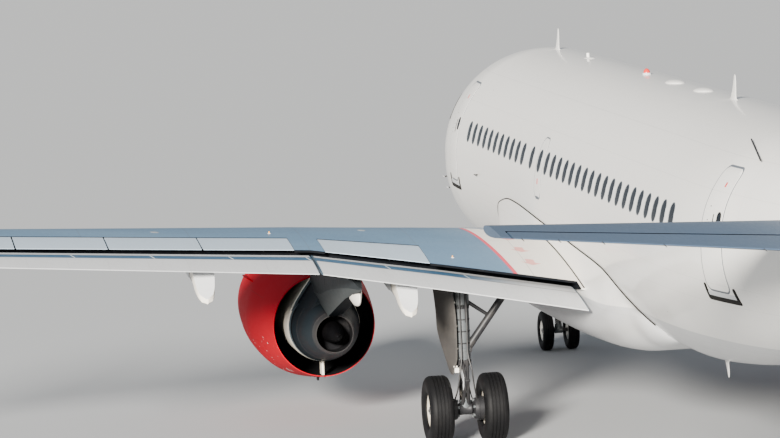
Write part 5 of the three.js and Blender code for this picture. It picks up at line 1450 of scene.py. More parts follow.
    def flap(self, name: str, start: float, end: float) -> None:
        """One flap with its end plates, the fairings of its tracks, and the bands on its top."""
        t = steps([start, *[p for p in FLAP.places if start < p < end], end], 0.22)
        u = np.linspace(0, 1, 30) ** 1.5
        ring = np.concatenate([self.flap_rings(t, u[None, ::-1], 1), self.flap_rings(t, u[None, 1:], -1)], 1)
        chord = np.broadcast_to(np.concatenate([u[::-1], -u[1:]]), ring.shape[:2])
        skin = Skin(f"{self.name(name)}_skin")
        skin.loft(ring, 0, mark=np.stack([np.broadcast_to(t[:, None], chord.shape), chord], -1))
        for edge in (start, end):
            self.end_plate(skin, edge)
        for track in TRACKS:
            if track.flap == name:
                track.build(skin, self.surface)
        piece = skin.build([FLAP_PAINT, CREAM_PAINT, PALE_GREY, DARK_STEEL, RIB_PAINT])
        fit(piece, "airframe", "flap_paint", self.name(name))

    def end_plate(self, skin: Skin, t: float) -> None:
        """The thin rib that closes a flap's end."""
        stations = np.array([t - 0.004, t + 0.004])
        u = np.linspace(0.01, 1, 18) ** 1.4
        top, low = self.flap_rings(stations, u[None], 1), self.flap_rings(stations, u[None], -1)
        top[..., 2] += 0.003
        low[..., 2] -= 0.003
        skin.loft(np.concatenate([top[:, ::-1], low], 1), 4)

    def fittings(self) -> None:
        """Small things on the wing: the jacking pad, orange markers, and access panels above and below."""
        skin = Skin(f"{self.name('wing')}_fittings")
        side = self.side.value
        x, s = self.jack
        z = float(self.surface.height(x, s, -1))
        for foot, radius in ((z - 0.045, 0.06), (z - 0.012, 0.10)):
            skin.bar((side * x, s, z + 0.03), (side * x, s, foot), radius, 0, 32)
        for x, s in ((3.96, 16.42), (6.92, 15.69)):
            top = float(self.surface.height(x, s, 1))
            skin.bar((side * x, s, top - 0.02), (side * x, s, top + 0.035), 0.014, 2, 12, 0.008)
            skin.bar((side * x, s, top - 0.02), (side * x, s, top + 0.006), 0.03, 0, 20)
        for x in np.arange(4.9, 15.6, 0.75):
            s = float(self.surface.place(x, 0.36))
            self.panel(skin, x, s, 0.10, 0.20, -1, 1)
        for x, s in ((2.9, 13.5), (5.2, 14.6), (12.4, 17.6), (8.9, 16.3)):
            self.panel(skin, x, s, 0.07, 0.07, 1, 1)
        fit(skin.build([PALE_GREY, GREY_PAINT, ORANGE_MARK]), "airframe", "wing_paint")

    def panel(self, skin: Skin, x: float, s: float, half_x: float, half_s: float, up: float, slot: int) -> None:
        """Adds an oval cover that follows the wing's skin and stands 2 mm proud of it."""
        rings = []
        for scale, lift in ((0, 0.002), (0.5, 0.002), (0.97, 0.002), (1, 0.0), (1, -0.01), (0, -0.01)):
            turn = np.arange(28) * TURN / 28
            px, ps = x + half_x * scale * np.cos(turn), s + half_s * scale * np.sin(turn)
            rings.append(self.surface.put(px, ps, self.surface.height(px, ps, up) + up * lift))
        skin.loft(np.stack(rings), slot)


# back: place behind the flap's rear edge, width: share of the half width, low: depth of the keel under that edge
TRACK_TAIL = Table(
    "back width low",
    (-1.70, 1.0, 0.235), (-0.90, 1.0, 0.265), (-0.45, 1.0, 0.395), (-0.38, 0.98, 0.425), (-0.20, 0.85, 0.475),
    (-0.08, 0.60, 0.508), (-0.02, 0.10, 0.52),
)
TRACK_DECK = Table("back top", (-0.38, 0.058), (-0.02, 0.44))


@dataclass(frozen=True)
class Track:
    """A boat-shaped fairing over one of a flap's tracks; its tail droops with the flap and has a flat deck."""

    flap: str
    x: float
    start: float
    front: float  # height of its point
    half: float
    depth: float = 1.0  # of its tail, as a share of the table's
    joint: float = -0.93  # where its cream tail starts, behind the flap's rear edge

    def build(self, skin: Skin, wing: Surface) -> None:
        """Adds the fairing: half ovals hung under a lid inside the wing or the flap, or under the deck.

        Args:
            skin: the skin to add it to, whose second finish is cream and whose third is grey.
            wing: the wing that carries it.
        """
        rear, level = (float(FLAP.straight(name, self.x)) for name in ("tail_s", "tail_z"))
        bend = rear + TRACK_TAIL.places[0]
        s = np.concatenate([np.linspace(self.start, bend, 14)[:-1], rear + steps(TRACK_TAIL.places, 0.06)])
        back, share = s - rear, np.clip((s - self.start) / (bend - self.start), 0.02, 1)
        low = level - self.depth * TRACK_TAIL.smooth("low", back)
        bottom = self.front + (low - self.front) * share
        width = self.half * np.sin(share * math.pi / 2) ** 0.6 * TRACK_TAIL.smooth("width", back)
        lid = np.where(back < -0.44, self.lid(wing, s), level - self.depth * TRACK_DECK.straight("top", back))
        angle = np.linspace(0, math.pi, 22)
        across = width[:, None] * np.sign(np.cos(angle)) * np.abs(np.cos(angle)) ** 0.45
        z = lid[:, None] - (lid - bottom)[:, None] * np.sin(angle) ** 0.6
        # the fixed front is grey, partly paint and partly painted shade of the wing over it; the deck is grey as well
        slots = np.where(back[:-1, None] > self.joint, 1, 2) * np.ones(22, int)
        slots[:, -1] = 2
        x = wing.side.value * self.x
        skin.loft(stack(x + across, s[:, None], z), slots)
        k = int(np.searchsorted(back, self.joint))
        skin.tube(stack(x + across[k] * 1.012, s[k], z[k] - 0.003), 0.004, 3, 6)

    def lid(self, wing: Surface, s: Array) -> Array:
        """Height just inside the underside of the wing, or of the flap behind it, over the fairing."""
        share = np.clip(wing.share(self.x, s), 0, 1)
        above = wing.middle(self.x, share) - wing.half(self.x, share) + 0.03
        nose, first, tail, last, thick = (float(FLAP.straight(name, self.x)) for name in FLAP.names[1:])
        chord = np.clip((s - nose) / (tail - nose), 0, 1)
        behind = first + (last - first) * chord - thick * foil_half(chord) + np.where(s < nose, -0.16, 0.03)
        return np.where(s < float(REAR.straight("cove", self.x)), above, behind)


TRACKS = (
    Track("flap_inboard", 4.95, 14.5, 2.96, 0.175),
    Track("flap_outboard", 8.33, 15.75, 3.31, 0.175),
    Track("flap_outboard", 12.0, 17.5, 3.81, 0.15, 0.85),
)

FAIRING = Table(
    "s half keel top",
    (9.25, 1.5, 1.74, 2.3), (9.5, 1.86, 1.68, 3.08), (10.0, 1.94, 1.6, 3.42), (11.2, 1.99, 1.51, 3.57),
    (14.1, 1.975, 1.53, 3.42), (17.0, 1.94, 1.61, 3.24), (18.6, 1.87, 1.71, 3.11), (19.8, 1.62, 1.88, 2.72),
    (20.4, 1.36, 2.02, 2.42), (20.7, 1.16, 2.10, 2.24),
)


@dataclass
class BellyFairing:
    """The long fairing that joins the wings to the underside of the hull."""

    corner: float = 0.76
    inner: float = 0.9
    lip: float = 0.012  # how far its top edge stands out of the hull's side

    def build(self) -> None:
        """Makes the fairing, the seal along its top edge and the panels and intakes of its underside."""
        s = steps(FAIRING.places, 0.14)
        half, keel, top = (FAIRING.smooth(name, s) for name in FAIRING.names[1:])
        radius = np.minimum(self.corner, (top - keel) * 0.8)
        angle = np.linspace(0, math.pi / 2, 15)
        edge = hull_side(Side.LEFT, s, top, 0)[:, 0] + self.lip
        x = half[:, None] - radius[:, None] * (1 - np.cos(angle))
        z = keel[:, None] + radius[:, None] * (1 - np.sin(angle))
        share = np.linspace(0, 1, 8)[1:-1]
        wall_x = edge[:, None] + (half - edge)[:, None] * share
        wall_z = top[:, None] + (z[:, 0] - top)[:, None] * share
        right_x = np.concatenate([np.full((len(s), 1), self.inner), edge[:, None], wall_x, x], 1)
        right_z = np.concatenate([top[:, None], top[:, None], wall_z, z], 1)
        ring_x = np.concatenate([right_x, -right_x[:, ::-1]], 1)
        ring_z = np.concatenate([right_z, right_z[:, ::-1]], 1)
        skin = Skin("belly_fairing_skin").loft(stack(ring_x, s[:, None], ring_z))
        for side in Side:
            line = stack(side.value * (edge - 0.002), s, top)
            skin.tube(line[2:-2], 0.011, 1, 8)
            self.root_seal(skin, side)
        fit(skin.build([BELLY_PAINT, SEAL]), "airframe", "belly_paint", "belly_fairing")
        self.panels()

    def root_seal(self, skin: Skin, side: Side) -> None:
        """Adds the dark sealant where the wing's upper skin meets the fairing's wall."""
        s = np.linspace(12.3, 17.36, 48)
        half, keel, top = (FAIRING.smooth(name, s) for name in FAIRING.names[1:])
        edge = hull_side(side, s, top, 0)[:, 0] * side.value + self.lip
        z = wing_surface(side).height(edge, s, 1)
        share = (top - z) / (top - keel - np.minimum(self.corner, (top - keel) * 0.8))
        skin.tube(stack(side.value * (edge + (half - edge) * share), s, z), 0.016, 1, 8)

    def panels(self) -> None:
        """Cooling intakes, outlets and access panels under the fairing, and the gear bay's two closed doors."""
        skin = Skin("belly_panels")
        for side in Side:
            x = side.value
            door = rounded(0.62, 0.95, 0.12, 5, 4)
            self.patch(skin, door, x * 0.68, 16.1, 0.024, 0)
            self.patch(skin, door * [1.02, 1.015], x * 0.68, 16.1, 0.016, 1)
            self.patch(skin, rounded(0.13, 0.22, 0.05, 4, 2), x * 0.75, 10.9, 0.012, 1)
            skin.block((x * 0.75 - 0.14, 10.66, 1.47), (x * 0.75 + 0.14, 10.70, 1.53), 0, 0.008)
            for spot in (12.2, 12.9, 18.3):
                self.patch(skin, rounded(0.18, 0.26, 0.03), x * 0.5, spot, 0.016, 0)
        fit(skin.build([BELLY_GREY_PAINT, SEAL]), "airframe", "belly_paint")

    def patch(self, skin: Skin, outline: Array, x: float, s: float, thick: float, slot: int) -> None:
        """Adds a plate that lies half sunk on the flat underside and follows its slope."""
        before, keel, after = (float(FAIRING.smooth("keel", place)) for place in (s - 0.1, s, s + 0.1))
        turn = math.atan2(after - before, 0.2)
        skin.plate(outline, (x, s, keel), (1, 0, 0), (0, math.cos(turn), math.sin(turn)), thick, slot)


# Engines


def curve(*corners: tuple[float, float], pitch: int = 8) -> Array:
    """Points on a smooth line through some corners, `pitch` of them from each corner to the next."""
    table = Table("step one two", *((k, *corner) for k, corner in enumerate(corners)))
    along = np.linspace(0, len(corners) - 1, (len(corners) - 1) * pitch + 1)
    return np.stack([table.smooth("one", along), table.smooth("two", along)], -1)


# knee: where its walls turn in, half: half width, keel: half width of its flat bottom
PYLON = Table(
    "s top knee bottom half keel",
    (10.95, 2.90, 2.88, 2.86, 0.012, 0.008), (11.15, 2.96, 2.84, 2.76, 0.06, 0.04),
    (11.5, 3.02, 2.74, 2.60, 0.12, 0.09), (11.9, 3.07, 2.40, 2.22, 0.146, 0.12),
    (12.7, 3.17, 2.34, 2.20, 0.205, 0.15), (13.5, 3.30, 2.42, 2.20, 0.205, 0.13),
    (14.3, 3.28, 2.46, 2.165, 0.205, 0.11), (14.74, 3.27, 2.50, 2.110, 0.205, 0.10),
    (15.35, 3.24, 2.62, 2.26, 0.205, 0.11), (16.0, 3.20, 2.72, 2.42, 0.20, 0.12),
    (16.8, 3.13, 2.82, 2.64, 0.16, 0.10), (17.3, 3.06, 2.87, 2.745, 0.115, 0.07),
    (17.95, 2.93, 2.905, 2.88, 0.012, 0.008),
)
# half the ridge that joins the core's wall to the pylon, as distances across and up from the engine's line
RIDGE = np.array([
    (0.634, 0.0), (0.622, 0.11), (0.565, 0.30), (0.47, 0.47), (0.36, 0.63), (0.225, 0.813), (0.16, 0.885),
])
# the pointed fairing behind a pylon
STERN = Table(
    "s half keel top",
    (16.3, 0.03, 2.80, 2.90), (16.6, 0.08, 2.68, 2.92), (17.0, 0.098, 2.60, 2.91), (17.3, 0.09, 2.57, 2.89),
    (17.55, 0.055, 2.60, 2.86), (17.68, 0.010, 2.66, 2.80),
)


COWL_OUTER = (
    (9.20, 0.905), (9.25, 0.945), (9.48, 0.995), (10.0, 1.045), (10.7, 1.095), (11.5, 1.105), (12.5, 1.015),
    (13.40, 0.900), (13.48, 0.887),
)


COWL = Table("s radius", *COWL_OUTER)


def cowl_radius(s: Array | float) -> Array:
    """Radius of the cowl's outside at a place aft."""
    return COWL.smooth("radius", s)


@dataclass
class Engine:
    """One engine under its wing: pylon, cowl, core with its nozzle and plug, vanes and fan."""

    side: Side
    lip: float = 9.47  # where the bare metal of the intake ends
    liner: float = 10.62  # where the intake's pale liner ends
    blades: int = 24
    vanes: int = 34
    fan_root: float = 0.245
    fan_tip: float = 0.862
    fan_middle: float = 10.425
    chord: float = 0.230

    @property
    def axis(self) -> Place:
        """A point of the engine's own line."""
        return (self.side.value * ENGINE_X, 0.0, ENGINE_Z)

    def name(self, part: str) -> str:
        """A node's name on this side."""
        return f"{part}_{self.side.label}"

    def build(self) -> None:
        """Makes every piece of the engine."""
        self.cowl()
        self.core()
        self.fan()
        self.pylon()

    def around(self, radius: Array, s: Array, turn: Array) -> Array:
        """Points about the engine's line, turned from straight up towards +X."""
        x, _, z = self.axis
        return stack(x + radius * np.sin(turn), s, z + radius * np.cos(turn))

    def cowl(self) -> None:
        """The cowl: a bare lip, red doors and a fan duct in near-black painted shade, with strakes, latches and the
        drain mast.
        """
        outer = curve(*COWL_OUTER)
        inner = curve((13.48, 0.874), (13.40, 0.878), (12.6, 0.940), (11.5, 0.945), (10.7, 0.890), (10.0, 0.882),
                      (9.6, 0.845), (9.28, 0.868), (9.20, 0.905))
        profile = np.concatenate([outer, inner[:-1]])
        outside = np.arange(len(profile)) < len(outer)
        s = profile[:, 0]
        slots = np.where(s < self.lip, 1, np.where(outside, 0, np.where(s < self.liner, 2, 3)))
        skin = Skin(f"{self.name('nacelle')}_skin").turned(profile, self.axis, "s", slots, 144, loop=True)
        for turn in (math.radians(58), math.radians(-58)):
            self.strake(skin, turn)
        self.latches(skin)
        x, _, z = self.axis
        mast = rounded(0.06, 0.018, 0.018, 6)
        skin.plate(mast, (x, 12.4, z - cowl_radius(12.4) - 0.02), (0, 1, 0), (1, 0, 0), 0.09, 4, 0.004)
        finishes = [COWL_PAINT, LIP_METAL, PALE_GREY, HOLLOW_SHADE, DARK_STEEL]
        fit(skin.build(finishes), "airframe", "cowl_paint", self.name("nacelle"))

    def strake(self, skin: Skin, turn: float) -> None:
        """Adds a thin fin that stands out of the cowl: low at its front, higher behind."""
        share = np.linspace(0, 1, 13)[:, None]
        s = 10.15 + 1.15 * share
        foot = cowl_radius(s) - 0.012
        height = 0.03 + 0.20 * share**0.8 * (1 - 0.25 * share**6)
        off = np.array([-0.008, 0.008, 0.004, -0.004])
        radius = foot + height * np.array([0, 0, 1, 1])
        skin.loft(self.around(radius, s, turn + off / 1.2), 0)

    def latches(self, skin: Skin) -> None:
        """Adds the row of latches along the cowl's keel, a pair at each place."""
        x, _, z = self.axis
        latch = rounded(0.05, 0.018, 0.008)
        for s in (9.85, 10.25, 10.9, 11.3, 11.9, 12.35, 12.9):
            level = z - cowl_radius(s) + 0.001
            for across in (-0.05, 0.05):
                skin.plate(latch, (x + across, s, level), (0, 1, 0), (1, 0, 0), 0.008, 4)

    def core(self) -> None:
        """The core: cream fan duct wall, dark cone, bare nozzle rim and plug, with vanes and struts in the duct."""
        body = curve(
            (10.64, 0.0), (10.64, 0.29), (10.9, 0.43), (11.3, 0.56), (12.0, 0.64), (13.2, 0.64), (13.9, 0.535),
            (14.5, 0.383), (14.72, 0.322),
        )
        inside = np.array([(14.72, 0.311), (14.5, 0.314), (14.3, 0.318), (14.2, 0.20)])
        plug = curve((14.2, 0.20), (14.5, 0.178), (14.85, 0.12), (15.12, 0.03), (15.15, 0.0))[1:]
        profile = np.concatenate([body, inside, plug])
        s = profile[:-1, 0]
        row = np.arange(len(s))
        # slot 3 is near-black painted shade: the nozzle's inside and the gap from 13.55 to 13.60 ahead of the cone
        zones = [row >= len(body) + 3, row >= len(body), s > 14.58, s > 13.60, s > 13.55, s > 13.42, s > 11.5]
        slots = np.select(zones, [4, 3, 2, 1, 3, 6, 0], 5)
        skin = Skin(f"{self.name('engine_core')}_skin").turned(profile, self.axis, "s", slots, 96)
        for place, radius in ((13.9, 0.535), (14.58, 0.361)):
            skin.turned([(place - 0.008, radius - 0.01), (place - 0.006, radius + 0.004),
                         (place + 0.006, radius + 0.001), (place + 0.008, radius - 0.01)],
                        self.axis, "s", 2, 96, loop=True)
        self.duct_vanes(skin)
        self.ridge(skin)
        x, _, z = self.axis
        strut = rounded(0.14, 0.022, 0.021, 6)
        skin.plate(strut, (x, 13.0, z - 0.765), (0, 1, 0), (1, 0, 0), 0.29, 0, 0.002)
        finishes = [CORE_CREAM, CORE_METAL, NOZZLE_METAL, HOLLOW_SHADE, PLUG_METAL, GREY_PAINT, BAND_GREY]
        fit(skin.build(finishes), "airframe", "engine_metal", self.name("engine_core"))

    def duct_vanes(self, skin: Skin) -> None:
        """Adds the outlet guide vanes: thin curved plates from the core to the duct's wall, near black as painted
        shade.
        """
        radius = np.linspace(0.50, 0.925, 4)[:, None]
        ring = rounded(0.13, 0.006, 0.006, 3, 6)
        s = 11.13 + ring[:, 0]
        bend = 0.75 * ring[:, 0] + 0.01 * (ring[:, 0] / 0.13 - 1) ** 2
        for turn in np.arange(self.vanes) * TURN / self.vanes:
            skin.loft(self.around(radius, s, turn + (ring[:, 1] + bend) / radius), 3)

    def ridge(self, skin: Skin) -> None:
        """Adds the ridge over the core: its cream wall in the duct, then a dark one that sinks into the cone.

        Each section is the ridge's outline and its mirror image, scaled about the engine's line.
        """
        s = np.array([11.7, 12.2, 13.42, 13.43, 13.55, 13.555, 13.60, 13.61, 13.9, 14.15])
        scale = np.array([0.80, 1.0, 1.0, 0.98, 0.955, 0.915, 0.91, 0.93, 0.81, 0.70])[:, None]
        # slot 3 is the near-black painted shade of the gap ahead of the cone
        slots = np.array([0, 0, 0, 6, 3, 3, 3, 1, 1])
        across = np.concatenate([RIDGE[:, 0], -RIDGE[::-1, 0]])
        up = np.concatenate([RIDGE[:, 1], RIDGE[::-1, 1]])
        x, _, z = self.axis
        skin.loft(stack(x + across * scale, s[:, None], z + up * scale), slots)

    def fan(self) -> None:
        """The fan: spinner, hub, shaft and twisted blades.

        At each radius the blade's section is turned off the fan's line by an angle that grows from root to
        tip, its middle line is a shallow arc, and its thickness falls from the root to the tip.
        """
        spinner = curve((9.88, 0.0), (9.885, 0.02), (10.01, 0.15), (10.26, 0.272), (10.50, 0.285), (10.61, 0.285))
        profile = np.concatenate([spinner, [(10.61, 0.0)]])
        slots = np.where(profile[:-1, 0] < 10.26, 1, 0)
        skin = Skin(f"{self.name('fan')}_skin").turned(profile, self.axis, "s", slots, 72)
        x, _, z = self.axis
        skin.bar((x, 10.56, z), (x, 10.85, z), 0.06, 0, 32)
        radius = np.linspace(self.fan_root, self.fan_tip - 0.004, 12)[:, None]
        share = (radius - self.fan_root) / (self.fan_tip - self.fan_root)
        pitch = np.radians(28 + 34 * share)
        chord = self.chord * (0.75 + 0.25 * share) * (1 - 0.10 * np.maximum(share - 0.85, 0) / 0.15)
        turn = np.arange(22) * TURN / 22
        along = chord / 2 * np.cos(turn)
        across = (0.009 - 0.0055 * share) * np.sin(turn) + 0.012 * (1 - np.cos(turn) ** 2)
        s = self.fan_middle + along * np.cos(pitch) - across * np.sin(pitch)
        sideways = along * np.sin(pitch) + across * np.cos(pitch)
        for k in range(self.blades):
            skin.loft(self.around(radius, s, (k + 0.5) * TURN / self.blades + sideways / radius), 0)
        fit(skin.build([FAN_METAL, SPINNER_PAINT]), self.name("fan"), "fan_metal", self.name("fan"))

    def pylon(self) -> None:
        """The pylon: flat walls over a faceted keel whose facets take painted shade and painted light, access panels
        on its sides, and the fairing at its tail.

        Each section has six corners: two at the top, two at the knees and two at the keel's edges.
        """
        s = steps(PYLON.places, 0.2)
        top, knee, bottom, half, keel = (PYLON.straight(name, s) for name in PYLON.names[1:])
        x, _, _ = self.axis
        across = np.stack([half * 0.94, half, half, keel, -keel, -half, -half, -half * 0.94], 1)
        up = np.stack([top, top - 0.02, knee, bottom, bottom, knee, top - 0.02, top], 1)
        # the flat keel (1) is painted shade, the chamfers (2) painted light
        slots = np.array([[0, 0, 2, 1, 2, 0, 0, 0]])
        skin = Skin(f"{self.name('pylon')}_skin").loft(stack(x + across, s[:, None], up), slots)
        panels = ((14.2, 2.72, 0.28, 0.12), (15.0, 2.82, 0.2, 0.12), (13.6, 2.88, 0.16, 0.1))
        for side in (-1, 1):
            for place, level, half_s, half_z in panels:
                panel = rounded(half_s, half_z, 0.03)
                skin.plate(panel, (x + side * 0.2035, place, level), (0, 1, 0), (0, 0, 1), 0.006, 0)
        self.stern(skin)
        finishes = [PYLON_PAINT, PYLON_KEEL_SHADE, PYLON_FLANK_LIGHT, CREAM_PAINT]
        fit(skin.build(finishes, 12), "airframe", "pylon_paint", self.name("pylon"))

    def stern(self, skin: Skin) -> None:
        """Adds the cream fairing at the pylon's tail: a ridge below, round sides, and a point behind."""
        s = steps(STERN.places, 0.05)
        half, keel, top = (STERN.smooth(name, s)[:, None] for name in STERN.names[1:])
        angle = np.linspace(0, math.pi, 17)
        across = half * np.sign(np.cos(angle)) * np.abs(np.cos(angle)) ** 0.9
        z = top - (top - keel) * np.sin(angle) ** 0.8
        skin.loft(stack(self.side.value * (ENGINE_X - 0.015) + across, s[:, None], z), 3)


# Tail

TAILPLANE = Table(
    "t s chord front rear thick", (0.25, 28.26, 3.87, 4.59, 4.59, 0.11), (6.225, 32.14, 1.29, 5.3, 5.3, 0.1)
)
ELEVATOR = Hinge(1.18, 6.06, 0.69, 0.03)
FIN = Table(
    "t s chord front rear thick",
    (5.3, 26.15, 5.95, 0, 0, 0.1), (6.5, 27.62, 4.96, 0, 0, 0.1), (11.76, 32.0, 1.84, 0, 0, 0.1),
)
RUDDER = Hinge(6.08, 11.6, 0.69, 0.03)
@dataclass
class Tail:
    """Fin, rudder, tailplanes and elevators with their static wicks."""

    wick_places: tuple[float, ...] = (2.6, 4.0, 4.85, 5.45, 5.95)

    def build(self) -> None:
        """Makes the fin and both tailplanes."""
        fin = Surface(FIN, Side.LEFT, upright=True)
        self.split("fin", "rudder", fin, RUDDER, FIN_PAINT, "hull_paint", (7.4, 9.2, 11.0))
        for side in Side:
            surface = Surface(TAILPLANE, side)
            names = f"tailplane_{side.label}", f"elevator_{side.label}"
            self.split(*names, surface, ELEVATOR, TAIL_PAINT, "wing_paint", self.wick_places)

    def split(
        self, fixed: str, moving: str, surface: Surface, hinge: Hinge, paint: Finish, slot: str,
        wicks: tuple[float, ...],
    ) -> None:
        """Makes a fixed surface with room for its control, and the control with its wicks.

        Args:
            fixed: node of the fixed surface.
            moving: node and body of the control.
            surface: their common shape.
            hinge: the control's hinge line.
            paint: finish of both.
            slot: material slot of both.
            wicks: stations of the static wicks.
        """
        stations = steps(surface.table.places, 0.25)
        piece = surface.shell(Skin(f"{fixed}_skin"), stations).build([paint])
        # the cut faces take near-black painted shade
        carve(piece, [surface.room(hinge)], [COVE_SHADE], 26)
        fit(piece, "airframe", slot, fixed)
        skin = surface.control(Skin(f"{moving}_skin"), hinge, 0.3)
        surface.wicks(skin, wicks, 1)
        fit(skin.build([paint, DARK_STEEL]), moving, slot, moving)


# Landing gear

MAIN_S, MAIN_X, NOSE_S = 16.11, 3.795, 5.07


@dataclass(frozen=True)
class Wheel:
    """Sizes of one wheel of a pair: tyre radius and half width, rim radius, spacing, axle and hub."""

    radius: float
    half: float
    rim: float
    spacing: float
    axle: float
    bolts: int
    grooves: tuple[float, ...]
    hub: Finish

    def tyre(self, skin: Skin, x: float, s: float) -> None:
        """Adds a tyre: rounded shoulders, a grooved tread, a bulged wall with a rubbing rib, and its beads."""
        r, h, rim = self.radius, self.half, self.rim
        wall = [(h * 0.70, rim), (h * 0.86, rim + 0.10 * (r - rim)), (h * 0.97, rim + 0.36 * (r - rim)),
                (h, rim + 0.55 * (r - rim)), (h * 0.955, rim + 0.74 * (r - rim)), (h * 0.83, rim + 0.90 * (r - rim)),
                (h * 0.64, r * 0.993)]
        right = curve(*wall, pitch=4)
        groove, deep = 0.008 * r / 0.584, 0.014 * r / 0.584
        places = sorted(self.grooves, reverse=True)
        tread = np.array([
            point
            for middle in places
            for point in ((middle + groove, r), (middle + groove * 0.7, r - deep), (middle - groove * 0.7, r - deep),
                          (middle - groove, r))
        ])
        crown = np.concatenate([[(h * 0.55, r * 0.9985)], tread, [(-h * 0.55, r * 0.9985)]])
        left = right[::-1] * [-1, 1]
        profile = np.concatenate([right, crown, left])
        skin.turned(profile, (x, s, r), "x", 0, 120, loop=True)

    def rim_half(self, skin: Skin, x: float, s: float, out: int) -> None:
        """Adds one rim: beads, a dished web with round holes shown as near-black discs of painted shade, a hub cap
        and a ring of bolts.
        """
        r, w = self.rim - 0.0008, self.half * 0.66
        dish = np.array([
            (-w, self.axle - 0.002), (-w, r * 0.62), (-w * 0.9, r * 0.86), (-w, r * 0.93), (-w, r),
            (w, r), (w, r * 0.95), (w * 0.92, r * 0.91), (w * 0.52, r * 0.84), (w * 0.42, r * 0.62),
            (w * 0.50, r * 0.42), (w * 0.86, r * 0.38), (w * 0.90, r * 0.30), (w * 0.90, self.axle * 0.9),
        ])
        skin.turned(dish * [out, 1], (x, s, self.radius), "x", 0, 96)
        caps = ((0.86, 1.08, 0.27, 1, 36, 0.24, 0.008), (1.0, 1.2, 0.10, 2, 20, 0.08, 0.004))
        for near, far, wide, slot, sides, narrow, edge in caps:
            ends = [(x + out * w * share, s, self.radius) for share in (near, far)]
            skin.bar(*ends, r * wide, slot, sides, r * narrow, edge)
        turn = np.arange(self.bolts) * TURN / self.bolts
        for y, z in zip(np.cos(turn), np.sin(turn)):
            at = (s + r * 0.53 * y, self.radius + r * 0.53 * z)
            skin.bar((x + out * w * 0.38, *at), (x + out * w * 0.60, *at), r * 0.045, 2, 6, edge=0.002)
            # each hole is a near-black disc of painted shade
            hole = (s + r * 0.73 * y, self.radius + r * 0.73 * z)
            skin.bar((x + out * w * 0.40, *hole), (x + out * w * 0.51, *hole), r * 0.075, 3, 20, edge=0.002)


MAIN_WHEEL = Wheel(0.584, 0.205, 0.29, 0.927, 0.055, 12, (-0.09, -0.03, 0.03, 0.09), HUB_PAINT)
NOSE_WHEEL = Wheel(0.381, 0.108, 0.20, 0.5, 0.035, 8, (-0.04, 0.0, 0.04), NOSE_HUB)


@dataclass
class Gear:
    """What both kinds of gear leg share: bars by a table, brackets, hoses and wheel pairs."""

    def bars(self, skin: Skin, rows: Sequence[tuple], x: float, s: float, side: int = 1) -> None:
        """Adds bars between ends given as distance inboard, distance aft and height.

        Args:
            skin: the skin to add them to.
            rows: first end, second end, radius, material, and the radius at the second end.
            x: place of the leg across.
            s: place of the leg aft.
            side: +1 if inboard is towards -X.
        """
        for first, last, radius, slot, foot in rows:
            ends = [(x - side * across, s + behind, z) for across, behind, z in (first, last)]
            skin.bar(*ends, radius, slot, 28 if radius > 0.06 else 16, foot, 0.005)

    def hose(
        self, skin: Skin, corners: Sequence[Place], x: float, s: float, side: int, radius: float, slot: int
    ) -> None:
        """Adds a hose: a smooth line through some corners, given as for a bar."""
        table = Table("k across behind z", *((k, *corner) for k, corner in enumerate(corners)))
        along = np.linspace(0, len(corners) - 1, 12 * len(corners))
        across, behind, z = (table.smooth(name, along) for name in ("across", "behind", "z"))
        skin.tube(stack(x - side * across, s + behind, z), radius, slot, 10)

    def wheels(self, wheel: Wheel, node: str, x: float, s: float, tyres: dict[int, str]) -> None:
        """Makes a pair of rims on their axle, and their two tyres."""
        skin = Skin(f"{node}_skin")
        half = wheel.spacing / 2
        skin.bar((x - half, s, wheel.radius), (x + half, s, wheel.radius), wheel.axle - 0.0005, 2, 32)
        for out, name in tyres.items():
            wheel.rim_half(skin, x + out * half, s, out)
            rubber = Skin(f"{name}_skin")
            wheel.tyre(rubber, x + out * half, s)
            fit(rubber.build([TYRE], 50), node, "tyre_rubber", name)
        fit(skin.build([wheel.hub, CAP_METAL, DARK_STEEL, HOLLOW_SHADE], 28), node, "wheel_metal", node)

    def housing(self, skin: Skin, wheel: Wheel, x: float, s: float, half: float, radius: float, slot: int) -> None:
        """Adds the axle housing: a sleeve round the axle with rolled ends."""
        bore = wheel.axle + 0.003
        profile = [(-half, bore), (half, bore), (half, radius * 0.86), (half - 0.02, radius), (half * 0.6, radius),
                   (half * 0.5, radius * 0.95), (-half * 0.5, radius * 0.95), (-half * 0.6, radius),
                   (-half + 0.02, radius), (-half, radius * 0.86)]
        skin.turned(np.array(profile), (x, s, wheel.radius), "x", slot, 48, loop=True)


def pair(first: Place, last: Place, *rest: float) -> tuple[tuple, tuple]:
    """A row for a bar, and the row of its mirror image across the leg."""
    mirror = [(-across, behind, z) for across, behind, z in (first, last)]
    return (first, last, *rest), (*mirror, *rest)


